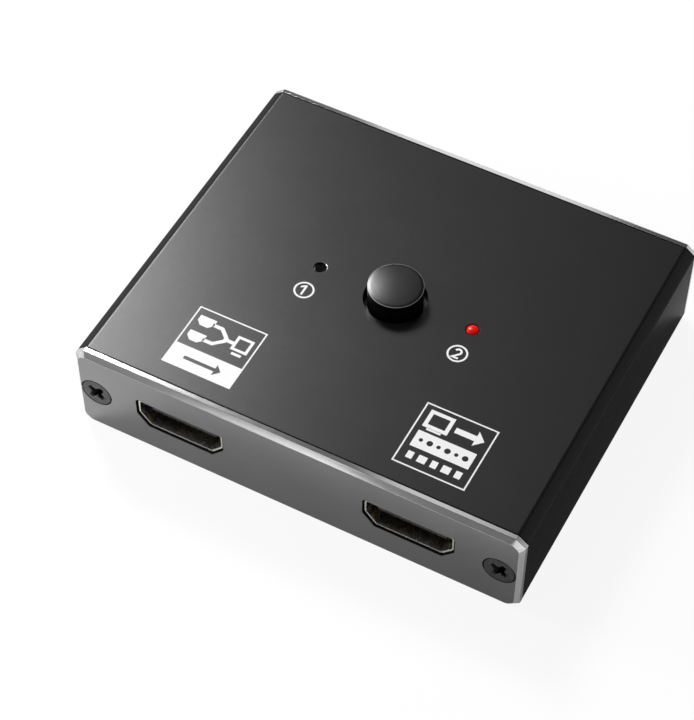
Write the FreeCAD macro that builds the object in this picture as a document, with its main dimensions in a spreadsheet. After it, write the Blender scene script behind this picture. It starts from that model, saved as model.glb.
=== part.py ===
"""Flat aluminium video switch box: two sockets in front, one at the back, one push button on top.

The case is one length of extruded tube, closed by an end plate at each end.
A circuit board slides into the tube and carries the sockets, the push switch and the lamps.
Origin: middle of the underside. +Z up, -Y towards the front plate with the two sockets.
"""
import FreeCAD
import Part
import math
import os
import re
import Sketcher

# Driving sizes in millimetres, each written once
SIZES = {
    # Outside of the box, end plates included
    "case_width": 75.0,
    "case_depth": 63.5,
    "case_height": 17.0,
    "corner_across": 1.6,
    "corner_down": 1.3,
    # The button and the lamps sit this far to the right of the middle
    "top_aside": 0.7,
    # Extruded tube
    "wall_side": 1.5,
    "wall_roof": 1.5,
    "wall_floor": 1.5,
    "boss_inset": 3.5,
    "boss_radius": 2.3,
    "boss_slot": 1.0,
    "boss_web_height": 3.6,
    "ledge_width": 1.9,
    "ledge_thickness": 1.0,
    "hole_edge": 0.15,
    # End plates and their screws
    "plate_edge": 1.0,
    "plate_chamfer": 0.65,
    "cutout_gap": 0.25,
    "screw_head_radius": 2.7,
    "screw_shank_radius": 1.35,
    "screw_length": 8.0,
    "screw_gap": 0.1,
    "cross_length": 2.9,
    "cross_width": 0.6,
    "cross_depth": 0.9,
    # Circuit board
    "board_thickness": 1.6,
    "board_side_gap": 0.25,
    "board_end_gap": 0.3,
    "board_slot_gap": 0.275,
    "pad_gap": 0.2,
    # Video sockets
    "socket_from_side": 18.2,
    "opening_width": 14.0,
    "opening_height": 4.55,
    "opening_side": 2.6,
    "opening_base": 10.6,
    "shell_wall": 0.3,
    "shell_corner": 0.35,
    "shell_depth": 11.5,
    "mouth_recess": 0.3,
    "finger_length": 4.4,
    "finger_width": 1.5,
    "finger_slit": 0.4,
    "finger_start": 3.0,
    "finger_pitch": 6.4,
    "leg_width": 1.2,
    "leg_first": 3.4,
    "leg_behind": 2.3,
    "leg_below": 0.5,
    "tongue_width": 11.2,
    "tongue_thickness": 1.5,
    "tongue_rise": 0.25,
    "tongue_tip": 1.1,
    "tongue_nose": 0.35,
    "block_front": 7.8,
    "block_gap": 0.05,
    "contact_pitch": 1.0,
    "contact_width": 0.3,
    "contact_thickness": 0.15,
    "contact_proud": 0.05,
    "contact_setback": 0.5,
    "tail_gap": 0.3,
    "tail_foot": 0.9,
    # Push button
    "button_radius": 4.35,
    "button_gap": 0.65,
    "button_proud": 3.2,
    "button_edge": 0.18,
    "button_roof": 1.2,
    "button_wall": 1.0,
    "button_travel": 1.6,
    "flange_margin": 0.6,
    "flange_thickness": 0.9,
    "flange_gap": 0.3,
    "button_boss_radius": 2.9,
    "button_boss_below": 0.3,
    "stem_room": 1.7,
    # Latching push switch
    "switch_side": 8.0,
    "switch_height": 5.2,
    "switch_wall": 0.7,
    "switch_base_height": 0.9,
    "switch_base_gap": 0.1,
    "plunger_side": 5.2,
    "plunger_height": 1.3,
    "plunger_gap": 0.2,
    "stem_side": 3.2,
    "stem_gap": 0.05,
    "spring_bore_radius": 1.15,
    "spring_bore_depth": 2.6,
    "spring_radius": 0.85,
    "spring_wire_radius": 0.13,
    "bridge_side": 4.8,
    "bridge_thickness": 0.15,
    "bridge_gap": 0.2,
    "pin_row": 5.0,
    "pin_pitch": 2.0,
    "pin_width": 0.6,
    "pin_thickness": 0.3,
    "pin_head": 0.15,
    "pin_below": 0.8,
    # Indicator lamps
    "lamp_pitch": 26.2,
    "lamp_length": 2.0,
    "lamp_width": 1.2,
    "lamp_base": 0.4,
    "lamp_height": 0.8,
    "lamp_inset": 0.25,
    "guide_hole_radius": 1.1,
    "guide_gap": 0.12,
    "guide_collar_radius": 1.6,
    "guide_collar_height": 0.8,
    "guide_proud": 0.1,
    # Small parts on the board
    "chip_side": 6.0,
    "chip_height": 0.85,
    "chip_aside": 6.0,
    "chip_inset": 9.0,
    "chip_lead_pitch": 0.8,
    "chip_lead_width": 0.3,
    "chip_lead_height": 0.2,
    "chip_lead_out": 0.25,
    "chip_mark": 0.7,
    "small_length": 1.6,
    "small_width": 0.8,
    "resistor_height": 0.45,
    "capacitor_height": 0.8,
    "array_length": 2.5,
    "array_width": 1.0,
    "array_height": 0.55,
    "array_spacing": 6.0,
    "array_clear": 1.2,
    # Cuts run past the faces they open by this much
    "overrun": 1.0,
}

# Counts
UPPER_CONTACTS = 10
LOWER_CONTACTS = 9
SPRING_TURNS = 4
WIRE_SIDES = 5
LEADS_PER_SIDE = 6

# Places of small parts, as shares of the board's half width and half depth
RESISTOR_SHARES = (
    (0.37, 0.14), (-0.37, 0.14), (0.25, 0.55), (-0.25, 0.55),
    (0.25, 0.28), (-0.25, 0.28), (0.86, 0.10), (-0.86, 0.10),
)
CAPACITOR_SHARES = (
    (0.17, 0.42), (-0.17, 0.42), (0.62, 0.02), (-0.62, 0.02),
    (0.74, -0.12), (-0.74, -0.12),
)

# Sizes that follow from the driving ones
FORMULAS = {
    "plate_thickness": "plate_edge + plate_chamfer",
    "tube_length": "case_depth - 2 * plate_thickness",
    "inner_half": "case_width / 2 - wall_side",
    "roof_under": "case_height - wall_roof",
    "socket_height": "case_height / 2",
    "socket_place": "case_width / 2 - socket_from_side",
    "board_top": "socket_height - opening_height / 2 - shell_wall",
    "board_bottom": "board_top - board_thickness",
    "board_half_width": "inner_half - board_side_gap",
    "board_half_depth": "tube_length / 2 - board_end_gap",
    "screw_place": "case_width / 2 - boss_inset",
    "screw_height": "board_top + board_slot_gap + boss_radius",
    "bore_radius": "screw_shank_radius + screw_gap",
    "screw_head_height": "plate_thickness - screw_gap",
    "mouth_place": "case_depth / 2 - mouth_recess",
    "side_turn": "atan((opening_width - opening_base) / (opening_height - opening_side) / 2)",
    "tongue_top": "tongue_rise + tongue_thickness / 2",
    "tongue_under": "tongue_rise - tongue_thickness / 2",
    "tail_face": "shell_depth + tail_gap",
    "leg_second": "shell_depth - leg_behind",
    "board_drop": "opening_height / 2 + shell_wall",
    "leg_outer": "opening_width / 2 + shell_wall",
    "hole_radius": "button_radius + button_gap",
    "flange_radius": "hole_radius + flange_margin",
    "flange_top": "roof_under - flange_gap",
    "flange_bottom": "flange_top - flange_thickness",
    "button_top": "case_height + button_proud",
    "button_ceiling": "button_top - button_roof",
    "button_boss_bottom": "flange_bottom - button_boss_below",
    "stem_top": "button_ceiling - stem_room",
    "switch_top": "board_top + switch_height",
    "switch_ceiling": "switch_top - switch_wall",
    "switch_inner": "switch_side - 2 * switch_wall",
    "base_top": "board_top + switch_base_height",
    "plunger_top": "switch_ceiling - plunger_gap",
    "plunger_bottom": "plunger_top - plunger_height",
    "lamp_top": "board_top + lamp_height",
    "guide_tip_radius": "guide_hole_radius - guide_gap",
    "guide_top": "case_height + guide_proud",
}

doc = FreeCAD.newDocument("video_switch_box")
sheet = doc.addObject("Spreadsheet::Sheet", "Sizes")
for row, (word, value) in enumerate(SIZES.items(), start=1):
    sheet.set("A%d" % row, word)
    sheet.set("B%d" % row, repr(value))
    sheet.setAlias("B%d" % row, word)
doc.recompute()


def formula(text):
    """Write a sum of named sizes as an expression that reads the sheet."""
    def spell(match):
        word = match.group(0)
        if word in FORMULAS:
            return "(%s)" % formula(FORMULAS[word])
        if word in SIZES:
            return "Sizes.%s" % word
        return word
    return re.sub(r"[a-z_]{3,}", spell, text)


def number(text):
    """Work out a sum of named sizes."""
    value = sheet.evalExpression(formula(text))
    return float(getattr(value, "Value", value))


def at(x="0", y="0", z="0", turn=0):
    """Expressions and quarter turns that place a sub-part."""
    return {"x": x, "y": y, "z": z, "turn": turn}


def place(piece, spot):
    """Put a sub-part where its expressions say."""
    turned = FreeCAD.Rotation(FreeCAD.Vector(0, 0, 1), spot["turn"])
    piece.Placement = FreeCAD.Placement(FreeCAD.Vector(0, 0, 0), turned)
    for axis in "xyz":
        piece.setExpression("Placement.Base.%s" % axis, formula(spot[axis]))


def new_body(label, spot=None):
    """An empty body that may hold several separate solids."""
    piece = doc.addObject("PartDesign::Body", label)
    piece.Label = label
    piece.AllowCompound = True
    if spot:
        place(piece, spot)
    return piece


def new_sketch(piece, role, offset="0"):
    """A sketch on one of the body's own origin planes, moved along the plane's normal."""
    drawing = piece.newObject("Sketcher::SketchObject", piece.Name + "_sketch")
    plane = next(item for item in piece.Origin.OriginFeatures if item.Role == role)
    drawing.AttachmentSupport = [(plane, "")]
    drawing.MapMode = "FlatFace"
    drawing.setExpression("AttachmentOffset.Base.z", formula(offset))
    return drawing


def bind(drawing, kind, geometry, point, text):
    """Hold a point or a radius to a sum of named sizes."""
    value = number(text)
    if kind == "Radius":
        rule = Sketcher.Constraint(kind, geometry, value)
    else:
        rule = Sketcher.Constraint(kind, -1, 1, geometry, point, value)
    index = drawing.addConstraint(rule)
    drawing.setExpression("Constraints[%d]" % index, formula(text))


def polygon(drawing, *corners):
    """A closed outline through corners given as pairs of sums."""
    spots = [FreeCAD.Vector(number(x), number(y), 0) for x, y in corners]
    first = drawing.GeometryCount
    count = len(spots)
    for index in range(count):
        drawing.addGeometry(Part.LineSegment(spots[index], spots[(index + 1) % count]))
    for index in range(count):
        after = first + (index + 1) % count
        drawing.addConstraint(Sketcher.Constraint("Coincident", first + index, 2, after, 1))
    for index, (x, y) in enumerate(corners):
        bind(drawing, "DistanceX", first + index, 1, x)
        bind(drawing, "DistanceY", first + index, 1, y)


def rectangle(drawing, left, right, low, high):
    """A rectangle between four sums."""
    polygon(drawing, (left, low), (right, low), (right, high), (left, high))


def middled(drawing, x, y, across, up):
    """A rectangle about a middle."""
    rectangle(drawing, "%s - (%s) / 2" % (x, across), "%s + (%s) / 2" % (x, across),
              "%s - (%s) / 2" % (y, up), "%s + (%s) / 2" % (y, up))


def circle(drawing, x, y, radius):
    """A circle about a middle."""
    middle = FreeCAD.Vector(number(x), number(y), 0)
    normal = FreeCAD.Vector(0, 0, 1)
    index = drawing.addGeometry(Part.Circle(middle, normal, number(radius)))
    bind(drawing, "DistanceX", index, 3, x)
    bind(drawing, "DistanceY", index, 3, y)
    bind(drawing, "Radius", index, 0, radius)


def feature(piece, kind, drawing, **settings):
    """Add a pad, pocket or revolution of a sketch, and see that it changes the solid."""
    before = piece.Shape.Volume if piece.Tip else 0
    made = piece.newObject("PartDesign::" + kind, piece.Name + "_" + kind.lower())
    made.Profile = drawing
    for name, value in settings.items():
        if isinstance(value, str) and name in ("Length", "Angle"):
            made.setExpression(name, formula(value))
        else:
            setattr(made, name, value)
    drawing.Visibility = False
    doc.recompute()
    grown = piece.Shape.Volume - before
    if grown == 0 or (grown > 0) == (kind == "Pocket"):
        raise RuntimeError("%s of %s changes nothing" % (kind, piece.Label))
    return made


def pad(piece, drawing, length, **settings):
    """Material along the sketch's normal, or to both sides of it."""
    return feature(piece, "Pad", drawing, Length=length, **settings)


def pocket(piece, drawing, length, **settings):
    """A cut against the sketch's normal, or to both sides of it."""
    return feature(piece, "Pocket", drawing, Length=length, **settings)


def turned_profile(piece, drawing):
    """A full turn about the sketch's upright axis."""
    made = piece.newObject("PartDesign::Revolution", piece.Name + "_turned")
    made.Profile = drawing
    made.ReferenceAxis = (drawing, ["V_Axis"])
    made.Angle = 360
    drawing.Visibility = False
    doc.recompute()
    return made


def row_of(piece, made, count, step):
    """Repeat a feature along X."""
    pattern = piece.newObject("PartDesign::LinearPattern", piece.Name + "_row")
    pattern.Originals = [made]
    line = next(item for item in piece.Origin.OriginFeatures if item.Role == "X_Axis")
    pattern.Direction = (line, [""])
    pattern.Occurrences = count
    pattern.setExpression("Length", formula("(%s) * %d" % (step, count - 1)))
    piece.Tip = pattern
    doc.recompute()
    return pattern


def dress_edges(piece, kind, wanted, size):
    """Chamfer or round the edges that a test picks."""
    base = piece.Tip
    names = ["Edge%d" % (index + 1) for index, edge in enumerate(base.Shape.Edges) if wanted(edge)]
    if not names:
        raise RuntimeError("no edge to dress on " + piece.Label)
    made = piece.newObject("PartDesign::" + kind, piece.Name + "_" + kind.lower())
    made.Base = (base, names)
    made.setExpression("Radius" if kind == "Fillet" else "Size", formula(size))
    doc.recompute()
    return made


def near(value, text):
    """Is a coordinate at a named place?"""
    return abs(value - number(text)) < number("overrun") / 1000


def box_outline(drawing):
    """Outline of tube and end plates, seen along Y."""
    side = "case_width / 2"
    flat = "case_width / 2 - corner_across"
    polygon(
        drawing,
        ("-(%s)" % flat, "0"),
        (flat, "0"),
        (side, "corner_down"),
        (side, "case_height - corner_down"),
        (flat, "case_height"),
        ("-(%s)" % flat, "case_height"),
        ("-(%s)" % side, "case_height - corner_down"),
        ("-(%s)" % side, "corner_down"),
    )


def opening_outline(drawing, x, z, grow):
    """Outline of a socket's opening, wider at the top, let out on every side by the same amount."""
    half = "opening_width / 2 + %s" % grow
    base = "opening_base / 2 + (%s) * tan(45 deg - side_turn / 2)" % grow
    top = "%s + opening_height / 2 + %s" % (z, grow)
    bottom = "%s - opening_height / 2 - (%s)" % (z, grow)
    corner = "%s + opening_height / 2 - opening_side - (%s) * tan(side_turn / 2)" % (z, grow)
    polygon(
        drawing,
        ("%s - (%s)" % (x, base), bottom),
        ("%s + %s" % (x, base), bottom),
        ("%s + %s" % (x, half), corner),
        ("%s + %s" % (x, half), top),
        ("%s - (%s)" % (x, half), top),
        ("%s - (%s)" % (x, half), corner),
    )


def make_case():
    """Extruded tube with screw bosses, board ledges, a button hole and two lamp holes."""
    piece = new_body("case_body")
    outside = new_sketch(piece, "XZ_Plane")
    box_outline(outside)
    pad(piece, outside, "tube_length", Midplane=True)

    inside = new_sketch(piece, "XZ_Plane")
    rectangle(inside, "-(inner_half)", "inner_half", "wall_floor", "roof_under")
    pocket(piece, inside, "case_depth", Midplane=True)

    rails = new_sketch(piece, "XZ_Plane")
    for sign in ("", "-"):
        wall = "%s(case_width / 2 - wall_side / 2)" % sign
        rectangle(rails, wall, "%s(inner_half - ledge_width)" % sign,
                  "board_bottom - ledge_thickness", "board_bottom")
        rectangle(rails, wall, "%s(screw_place)" % sign,
                  "screw_height - boss_web_height / 2", "screw_height + boss_web_height / 2")
    pad(piece, rails, "tube_length", Midplane=True)

    bosses = new_sketch(piece, "XZ_Plane")
    bores = new_sketch(piece, "XZ_Plane")
    slots = new_sketch(piece, "XZ_Plane")
    for sign in ("", "-"):
        circle(bosses, "%s(screw_place)" % sign, "screw_height", "boss_radius")
        circle(bores, "%s(screw_place)" % sign, "screw_height", "bore_radius")
        rectangle(slots, "%s(screw_place)" % sign, "%s(screw_place - boss_radius - overrun)" % sign,
                  "screw_height - boss_slot / 2", "screw_height + boss_slot / 2")
    pad(piece, bosses, "tube_length", Midplane=True)
    pocket(piece, bores, "case_depth", Midplane=True)
    pocket(piece, slots, "case_depth", Midplane=True)

    roof_holes = new_sketch(piece, "XY_Plane", "case_height")
    circle(roof_holes, "top_aside", "0", "hole_radius")
    for sign in ("+", "-"):
        circle(roof_holes, "top_aside %s lamp_pitch / 2" % sign, "0", "guide_hole_radius")
    pocket(piece, roof_holes, "wall_roof + overrun")

    def button_rim(edge):
        box = edge.BoundBox
        return near(box.ZMin, "case_height") and near(box.XLength, "2 * hole_radius")
    dress_edges(piece, "Chamfer", button_rim, "hole_edge")
    return piece


def make_plate(label, sockets, spot):
    """End plate with bevelled face, countersunk screw holes and socket cut-outs."""
    piece = new_body(label, spot)
    outline = new_sketch(piece, "XZ_Plane", "case_depth / 2 - plate_thickness")
    box_outline(outline)
    pad(piece, outline, "plate_thickness")

    def outer_face(edge):
        box = edge.BoundBox
        return near(box.YMin, "-case_depth / 2") and near(box.YMax, "-case_depth / 2")
    dress_edges(piece, "Chamfer", outer_face, "plate_chamfer")

    cuts = new_sketch(piece, "XZ_Plane", "case_depth / 2")
    for place_x in sockets:
        opening_outline(cuts, place_x, "socket_height", "(shell_wall + cutout_gap)")
    pocket(piece, cuts, "plate_thickness + overrun")

    for sign in ("", "-"):
        sink = new_sketch(piece, "XY_Plane", "screw_height")
        seat = "%s(screw_place)" % sign
        wide = "screw_head_radius + screw_gap"
        face = "-case_depth / 2"
        way = "-" if sign else "+"
        polygon(
            sink,
            (seat, "%s - overrun" % face),
            ("%s %s (%s)" % (seat, way, wide), "%s - overrun" % face),
            ("%s %s (%s)" % (seat, way, wide), face),
            ("%s %s bore_radius" % (seat, way), "%s + plate_thickness" % face),
            ("%s %s bore_radius" % (seat, way), "%s + plate_thickness + overrun" % face),
            (seat, "%s + plate_thickness + overrun" % face),
        )
        groove = piece.newObject("PartDesign::Groove", piece.Name + "_sink")
        groove.Profile = sink
        groove.ReferenceAxis = (sink, ["Edge6"])
        groove.Angle = 360
        sink.Visibility = False
        doc.recompute()
    return piece


def make_screws(label, turn):
    """Two countersunk cross-head screws, one at each end of a plate."""
    pair = []
    for side, sign in (("left", "-"), ("right", "")):
        piece = new_body("%s_%s" % (label, side), at(
            "%s(screw_place)" % sign, "%scase_depth / 2" % ("" if turn else "-"), "screw_height", turn))
        profile = new_sketch(piece, "XY_Plane")
        polygon(
            profile,
            ("0", "0"),
            ("screw_head_radius", "0"),
            ("screw_shank_radius", "screw_head_height"),
            ("screw_shank_radius", "screw_length"),
            ("0", "screw_length"),
        )
        turned_profile(piece, profile)
        cross = new_sketch(piece, "XZ_Plane")
        arm = "cross_length / 2"
        half = "cross_width / 2"
        polygon(
            cross,
            ("-%s" % arm, "-%s" % half), ("-%s" % half, "-%s" % half), ("-%s" % half, "-%s" % arm),
            (half, "-%s" % arm), (half, "-%s" % half), (arm, "-%s" % half),
            (arm, half), (half, half), (half, arm),
            ("-%s" % half, arm), ("-%s" % half, half), ("-%s" % arm, half),
        )
        pocket(piece, cross, "cross_depth")
        pair.append(piece)
    group = doc.addObject("Part::Compound", label)
    group.Label = label
    group.Links = pair
    doc.recompute()
    return group


def make_board(sockets):
    """Circuit board with slots for the sockets' legs and holes for the switch pins."""
    piece = new_body("circuit_board")
    outline = new_sketch(piece, "XY_Plane", "board_bottom")
    rectangle(outline, "-(board_half_width)", "board_half_width",
              "-(board_half_depth)", "board_half_depth")
    pad(piece, outline, "board_thickness")

    holes = new_sketch(piece, "XY_Plane", "board_top")
    for spot in sockets:
        way = -1 if spot["turn"] else 1
        for leg in ("leg_first", "leg_second"):
            for sign in ("-", "+"):
                across = "%s %s (leg_outer - shell_wall / 2)" % (spot["x"], sign)
                along = "%s + %d * (%s + leg_width / 2)" % (spot["y"], way, leg)
                middled(holes, across, along, "shell_wall + 2 * pad_gap", "leg_width + 2 * pad_gap")
    for across, along in switch_pin_places():
        middled(holes, "top_aside + " + across, along, "pin_width + 2 * pad_gap", "pin_thickness + 2 * pad_gap")
    pocket(piece, holes, "board_thickness + overrun")
    return piece


def make_shell(label, spot):
    """Folded metal shell of a socket, with spring fingers on top and four solder legs."""
    piece = new_body(label, spot)
    outside = new_sketch(piece, "XZ_Plane")
    opening_outline(outside, "0", "0", "shell_wall")
    pad(piece, outside, "shell_depth", Reversed=True)

    def long_edge(edge):
        box = edge.BoundBox
        return near(box.YLength, "shell_depth")
    dress_edges(piece, "Fillet", long_edge, "shell_corner")

    legs = new_sketch(piece, "YZ_Plane", "leg_outer - shell_wall")
    for leg in ("leg_first", "leg_second"):
        rectangle(legs, leg, "%s + leg_width" % leg,
                  "-board_drop - board_thickness - leg_below", "opening_height / 2 - opening_side / 2")
    right = pad(piece, legs, "shell_wall")
    other = piece.newObject("PartDesign::Mirrored", piece.Name + "_mirrored")
    other.Originals = [right]
    plane = next(item for item in piece.Origin.OriginFeatures if item.Role == "YZ_Plane")
    other.MirrorPlane = (plane, [""])
    piece.Tip = other
    doc.recompute()

    hollow = new_sketch(piece, "XZ_Plane", "overrun")
    opening_outline(hollow, "0", "0", "0")
    pocket(piece, hollow, "shell_depth + 2 * overrun")

    slits = new_sketch(piece, "XY_Plane", "opening_height / 2 + shell_wall")
    for sign in ("-", ""):
        middle = "%sfinger_pitch / 2" % sign
        inner = "finger_width / 2"
        outer = "finger_width / 2 + finger_slit"
        end = "finger_start + finger_length"
        polygon(
            slits,
            ("%s - (%s)" % (middle, outer), "finger_start"),
            ("%s + %s" % (middle, outer), "finger_start"),
            ("%s + %s" % (middle, outer), end),
            ("%s + %s" % (middle, inner), end),
            ("%s + %s" % (middle, inner), "finger_start + finger_slit"),
            ("%s - %s" % (middle, inner), "finger_start + finger_slit"),
            ("%s - %s" % (middle, inner), end),
            ("%s - (%s)" % (middle, outer), end),
        )
    pocket(piece, slits, "opening_height / 2")
    return piece


def make_contacts(label, spot):
    """Two staggered rows of flat contacts that bend down to feet on the board."""
    piece = new_body(label, spot)
    rows = (
        (UPPER_CONTACTS, "tongue_top + contact_proud - contact_thickness"),
        (LOWER_CONTACTS, "tongue_under - contact_proud"),
    )
    for count, low in rows:
        first = "-contact_pitch * %d / 2" % (count - 1)
        strip = new_sketch(piece, "YZ_Plane", first)
        polygon(
            strip,
            ("tongue_tip + contact_setback", low),
            ("tail_face", low),
            ("tail_face", "-board_drop"),
            ("tail_face + tail_foot", "-board_drop"),
            ("tail_face + tail_foot", "contact_thickness - board_drop"),
            ("tail_face + contact_thickness", "contact_thickness - board_drop"),
            ("tail_face + contact_thickness", "%s + contact_thickness" % low),
            ("tongue_tip + contact_setback", "%s + contact_thickness" % low),
        )
        made = pad(piece, strip, "contact_width", Midplane=True)
        row_of(piece, made, count, "contact_pitch")
    return piece


def make_insulator(label, contacts, spot):
    """Moulded block with the tongue that carries the contacts in grooves."""
    block = new_body(label + "_block", spot)
    filling = new_sketch(block, "XZ_Plane", "-block_front")
    opening_outline(filling, "0", "0", "-block_gap")
    pad(block, filling, "shell_depth - block_front", Reversed=True)
    tongue = new_sketch(block, "XZ_Plane", "-tongue_tip")
    rectangle(tongue, "-tongue_width / 2", "tongue_width / 2", "tongue_under", "tongue_top")
    pad(block, tongue, "block_front - tongue_tip + contact_thickness", Reversed=True)

    def nose(edge):
        box = edge.BoundBox
        return near(box.YMin, "tongue_tip") and near(box.YMax, "tongue_tip") and near(box.XLength, "tongue_width")
    dress_edges(block, "Chamfer", nose, "tongue_nose")

    piece = doc.addObject("Part::Cut", label)
    piece.Label = label
    piece.Base = block
    piece.Tool = contacts
    doc.recompute()
    return piece


def make_button():
    """Hollow round button with a retaining flange below the roof and a boss for the stem."""
    piece = new_body("push_button", at("top_aside"))
    profile = new_sketch(piece, "XZ_Plane")
    polygon(
        profile,
        ("0", "button_top"),
        ("button_radius - button_edge", "button_top"),
        ("button_radius", "button_top - button_edge"),
        ("button_radius", "flange_top"),
        ("flange_radius", "flange_top"),
        ("flange_radius", "flange_bottom"),
        ("button_radius - button_wall", "flange_bottom"),
        ("button_radius - button_wall", "button_ceiling"),
        ("button_boss_radius", "button_ceiling"),
        ("button_boss_radius", "button_boss_bottom"),
        ("0", "button_boss_bottom"),
    )
    turned_profile(piece, profile)
    socket = new_sketch(piece, "XY_Plane", "stem_top")
    side = "stem_side + 2 * stem_gap"
    middled(socket, "0", "0", side, side)
    pocket(piece, socket, "stem_top - button_boss_bottom + overrun")
    return piece


def make_switch_housing():
    """Square switch housing, open below, with a square hole for the stem."""
    piece = new_body("switch_housing", at("top_aside"))
    outside = new_sketch(piece, "XY_Plane", "board_top")
    middled(outside, "0", "0", "switch_side", "switch_side")
    pad(piece, outside, "switch_height")
    hollow = new_sketch(piece, "XY_Plane", "switch_ceiling")
    middled(hollow, "0", "0", "switch_inner", "switch_inner")
    pocket(piece, hollow, "switch_height")
    hole = new_sketch(piece, "XY_Plane", "switch_top")
    side = "stem_side + 2 * plunger_gap"
    middled(hole, "0", "0", side, side)
    pocket(piece, hole, "switch_wall + overrun")
    return piece


def switch_pin_places():
    """Middles of the six switch pins."""
    places = []
    for side in ("-", ""):
        for step in (-1, 0, 1):
            places.append(("%spin_row / 2" % side, "%d * pin_pitch" % step))
    return places


def make_switch_pins():
    """Six flat pins through the switch base and the board."""
    piece = new_body("switch_pins", at("top_aside"))
    cross = new_sketch(piece, "XY_Plane", "board_bottom - pin_below")
    for across, along in switch_pin_places():
        middled(cross, across, along, "pin_width", "pin_thickness")
    pad(piece, cross, "base_top + pin_head - board_bottom + pin_below")
    return piece


def make_switch_base(pins):
    """Plate that closes the switch housing from below and holds the pins."""
    plate = new_body("switch_base_plate", at("top_aside"))
    outline = new_sketch(plate, "XY_Plane", "board_top")
    side = "switch_inner - 2 * switch_base_gap"
    middled(outline, "0", "0", side, side)
    pad(plate, outline, "switch_base_height")
    piece = doc.addObject("Part::Cut", "switch_base")
    piece.Label = "switch_base"
    piece.Base = plate
    piece.Tool = pins
    doc.recompute()
    return piece


def make_plunger():
    """Plunger with a block inside the switch, a stem up into the button and a bore for the spring."""
    piece = new_body("switch_plunger", at("top_aside"))
    block = new_sketch(piece, "XY_Plane", "plunger_bottom")
    middled(block, "0", "0", "plunger_side", "plunger_side")
    pad(piece, block, "plunger_height")
    stem = new_sketch(piece, "XY_Plane", "plunger_bottom")
    middled(stem, "0", "0", "stem_side", "stem_side")
    pad(piece, stem, "stem_top - plunger_bottom")
    bore = new_sketch(piece, "XY_Plane", "plunger_bottom")
    circle(bore, "0", "0", "spring_bore_radius")
    pocket(piece, bore, "spring_bore_depth", Reversed=True)
    return piece


def make_bridge():
    """Thin contact plate under the plunger."""
    piece = new_body("switch_contact_plate", at("top_aside"))
    plate = new_sketch(piece, "XY_Plane", "plunger_bottom - bridge_thickness")
    middled(plate, "0", "0", "bridge_side", "bridge_side")
    circle(plate, "0", "0", "spring_bore_radius + bridge_gap")
    pad(piece, plate, "bridge_thickness")
    return piece


def make_spring():
    """Return spring: one unbroken wire of quarter turns between the base and the plunger's bore."""
    wire = number("spring_wire_radius")
    radius = number("spring_radius")
    low = number("base_top") + wire
    high = number("plunger_bottom + spring_bore_depth") - wire
    steps = SPRING_TURNS * 4
    rise = (high - low) / steps

    def spot(step):
        angle = math.pi / 2 * step
        return FreeCAD.Vector(radius * math.cos(angle), radius * math.sin(angle), low + rise * step)
    edges = [Part.Arc(spot(step), spot(step + 0.5), spot(step + 1)).toShape() for step in range(steps)]
    path = Part.Wire(edges)
    ahead = edges[0].tangentAt(edges[0].FirstParameter)
    upright = FreeCAD.Rotation(FreeCAD.Vector(0, 0, 1), ahead)
    corners = [math.radians(360 / WIRE_SIDES * index) for index in range(WIRE_SIDES + 1)]
    round_corners = [FreeCAD.Vector(wire * math.cos(turn), wire * math.sin(turn), 0) for turn in corners]
    ring = Part.makePolygon([spot(0) + upright.multVec(corner) for corner in round_corners])
    pipe = path.makePipeShell([ring], True, False)
    piece = doc.addObject("Part::Feature", "switch_spring")
    piece.Label = "switch_spring"
    piece.Shape = pipe
    place(piece, at("top_aside"))
    closest = rise * 4 - 2 * wire
    print("spring: gap between turns %.2f mm" % closest)
    return piece


def make_lamps():
    """Two surface-mounted lamps: a base with a smaller lens on it."""
    piece = new_body("indicator_lamps", at("top_aside"))
    base = new_sketch(piece, "XY_Plane", "board_top")
    lens = new_sketch(piece, "XY_Plane", "board_top + lamp_base")
    for sign in ("-", ""):
        middle = "%slamp_pitch / 2" % sign
        middled(base, middle, "0", "lamp_length", "lamp_width")
        middled(lens, middle, "0", "lamp_length - 2 * lamp_inset", "lamp_width")
    pad(piece, base, "lamp_base")
    pad(piece, lens, "lamp_height - lamp_base")
    return piece


def make_light_guide(label, sign):
    """Clear rod held by its collar under the roof, from just above a lamp to a tip in the roof's hole."""
    piece = new_body(label, at("top_aside %s lamp_pitch / 2" % sign))
    profile = new_sketch(piece, "XZ_Plane")
    polygon(
        profile,
        ("0", "lamp_top + guide_gap"),
        ("guide_tip_radius", "lamp_top + guide_gap"),
        ("guide_tip_radius", "roof_under - guide_collar_height"),
        ("guide_collar_radius", "roof_under - guide_collar_height"),
        ("guide_collar_radius", "roof_under"),
        ("guide_tip_radius", "roof_under"),
        ("guide_tip_radius", "guide_top"),
        ("0", "guide_top"),
    )
    turned_profile(piece, profile)
    return piece


def make_chip():
    """Switching chip beside the output socket, with leads along its four sides and a cut corner."""
    piece = new_body("switching_chip", at("leg_outer + chip_aside", "mouth_place - chip_inset", "board_top"))
    outline = new_sketch(piece, "XY_Plane")
    half = "chip_side / 2"
    polygon(
        outline,
        ("-%s + chip_mark" % half, "-%s" % half), (half, "-%s" % half), (half, half),
        ("-%s" % half, half), ("-%s" % half, "-%s + chip_mark" % half),
    )
    pad(piece, outline, "chip_height")
    leads = new_sketch(piece, "XY_Plane")
    for index in range(LEADS_PER_SIDE):
        across = "chip_lead_pitch * %g" % (index - (LEADS_PER_SIDE - 1) / 2)
        reach = "%s + chip_lead_out" % half
        rectangle(leads, "%s - chip_lead_width / 2" % across, "%s + chip_lead_width / 2" % across,
                  half + " - chip_lead_out", reach)
    row = pad(piece, leads, "chip_lead_height")
    around = piece.newObject("PartDesign::PolarPattern", piece.Name + "_around")
    around.Originals = [row]
    line = next(item for item in piece.Origin.OriginFeatures if item.Role == "Z_Axis")
    around.Axis = (line, [""])
    around.Angle = 360
    around.Occurrences = 4
    piece.Tip = around
    doc.recompute()
    return piece


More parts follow.
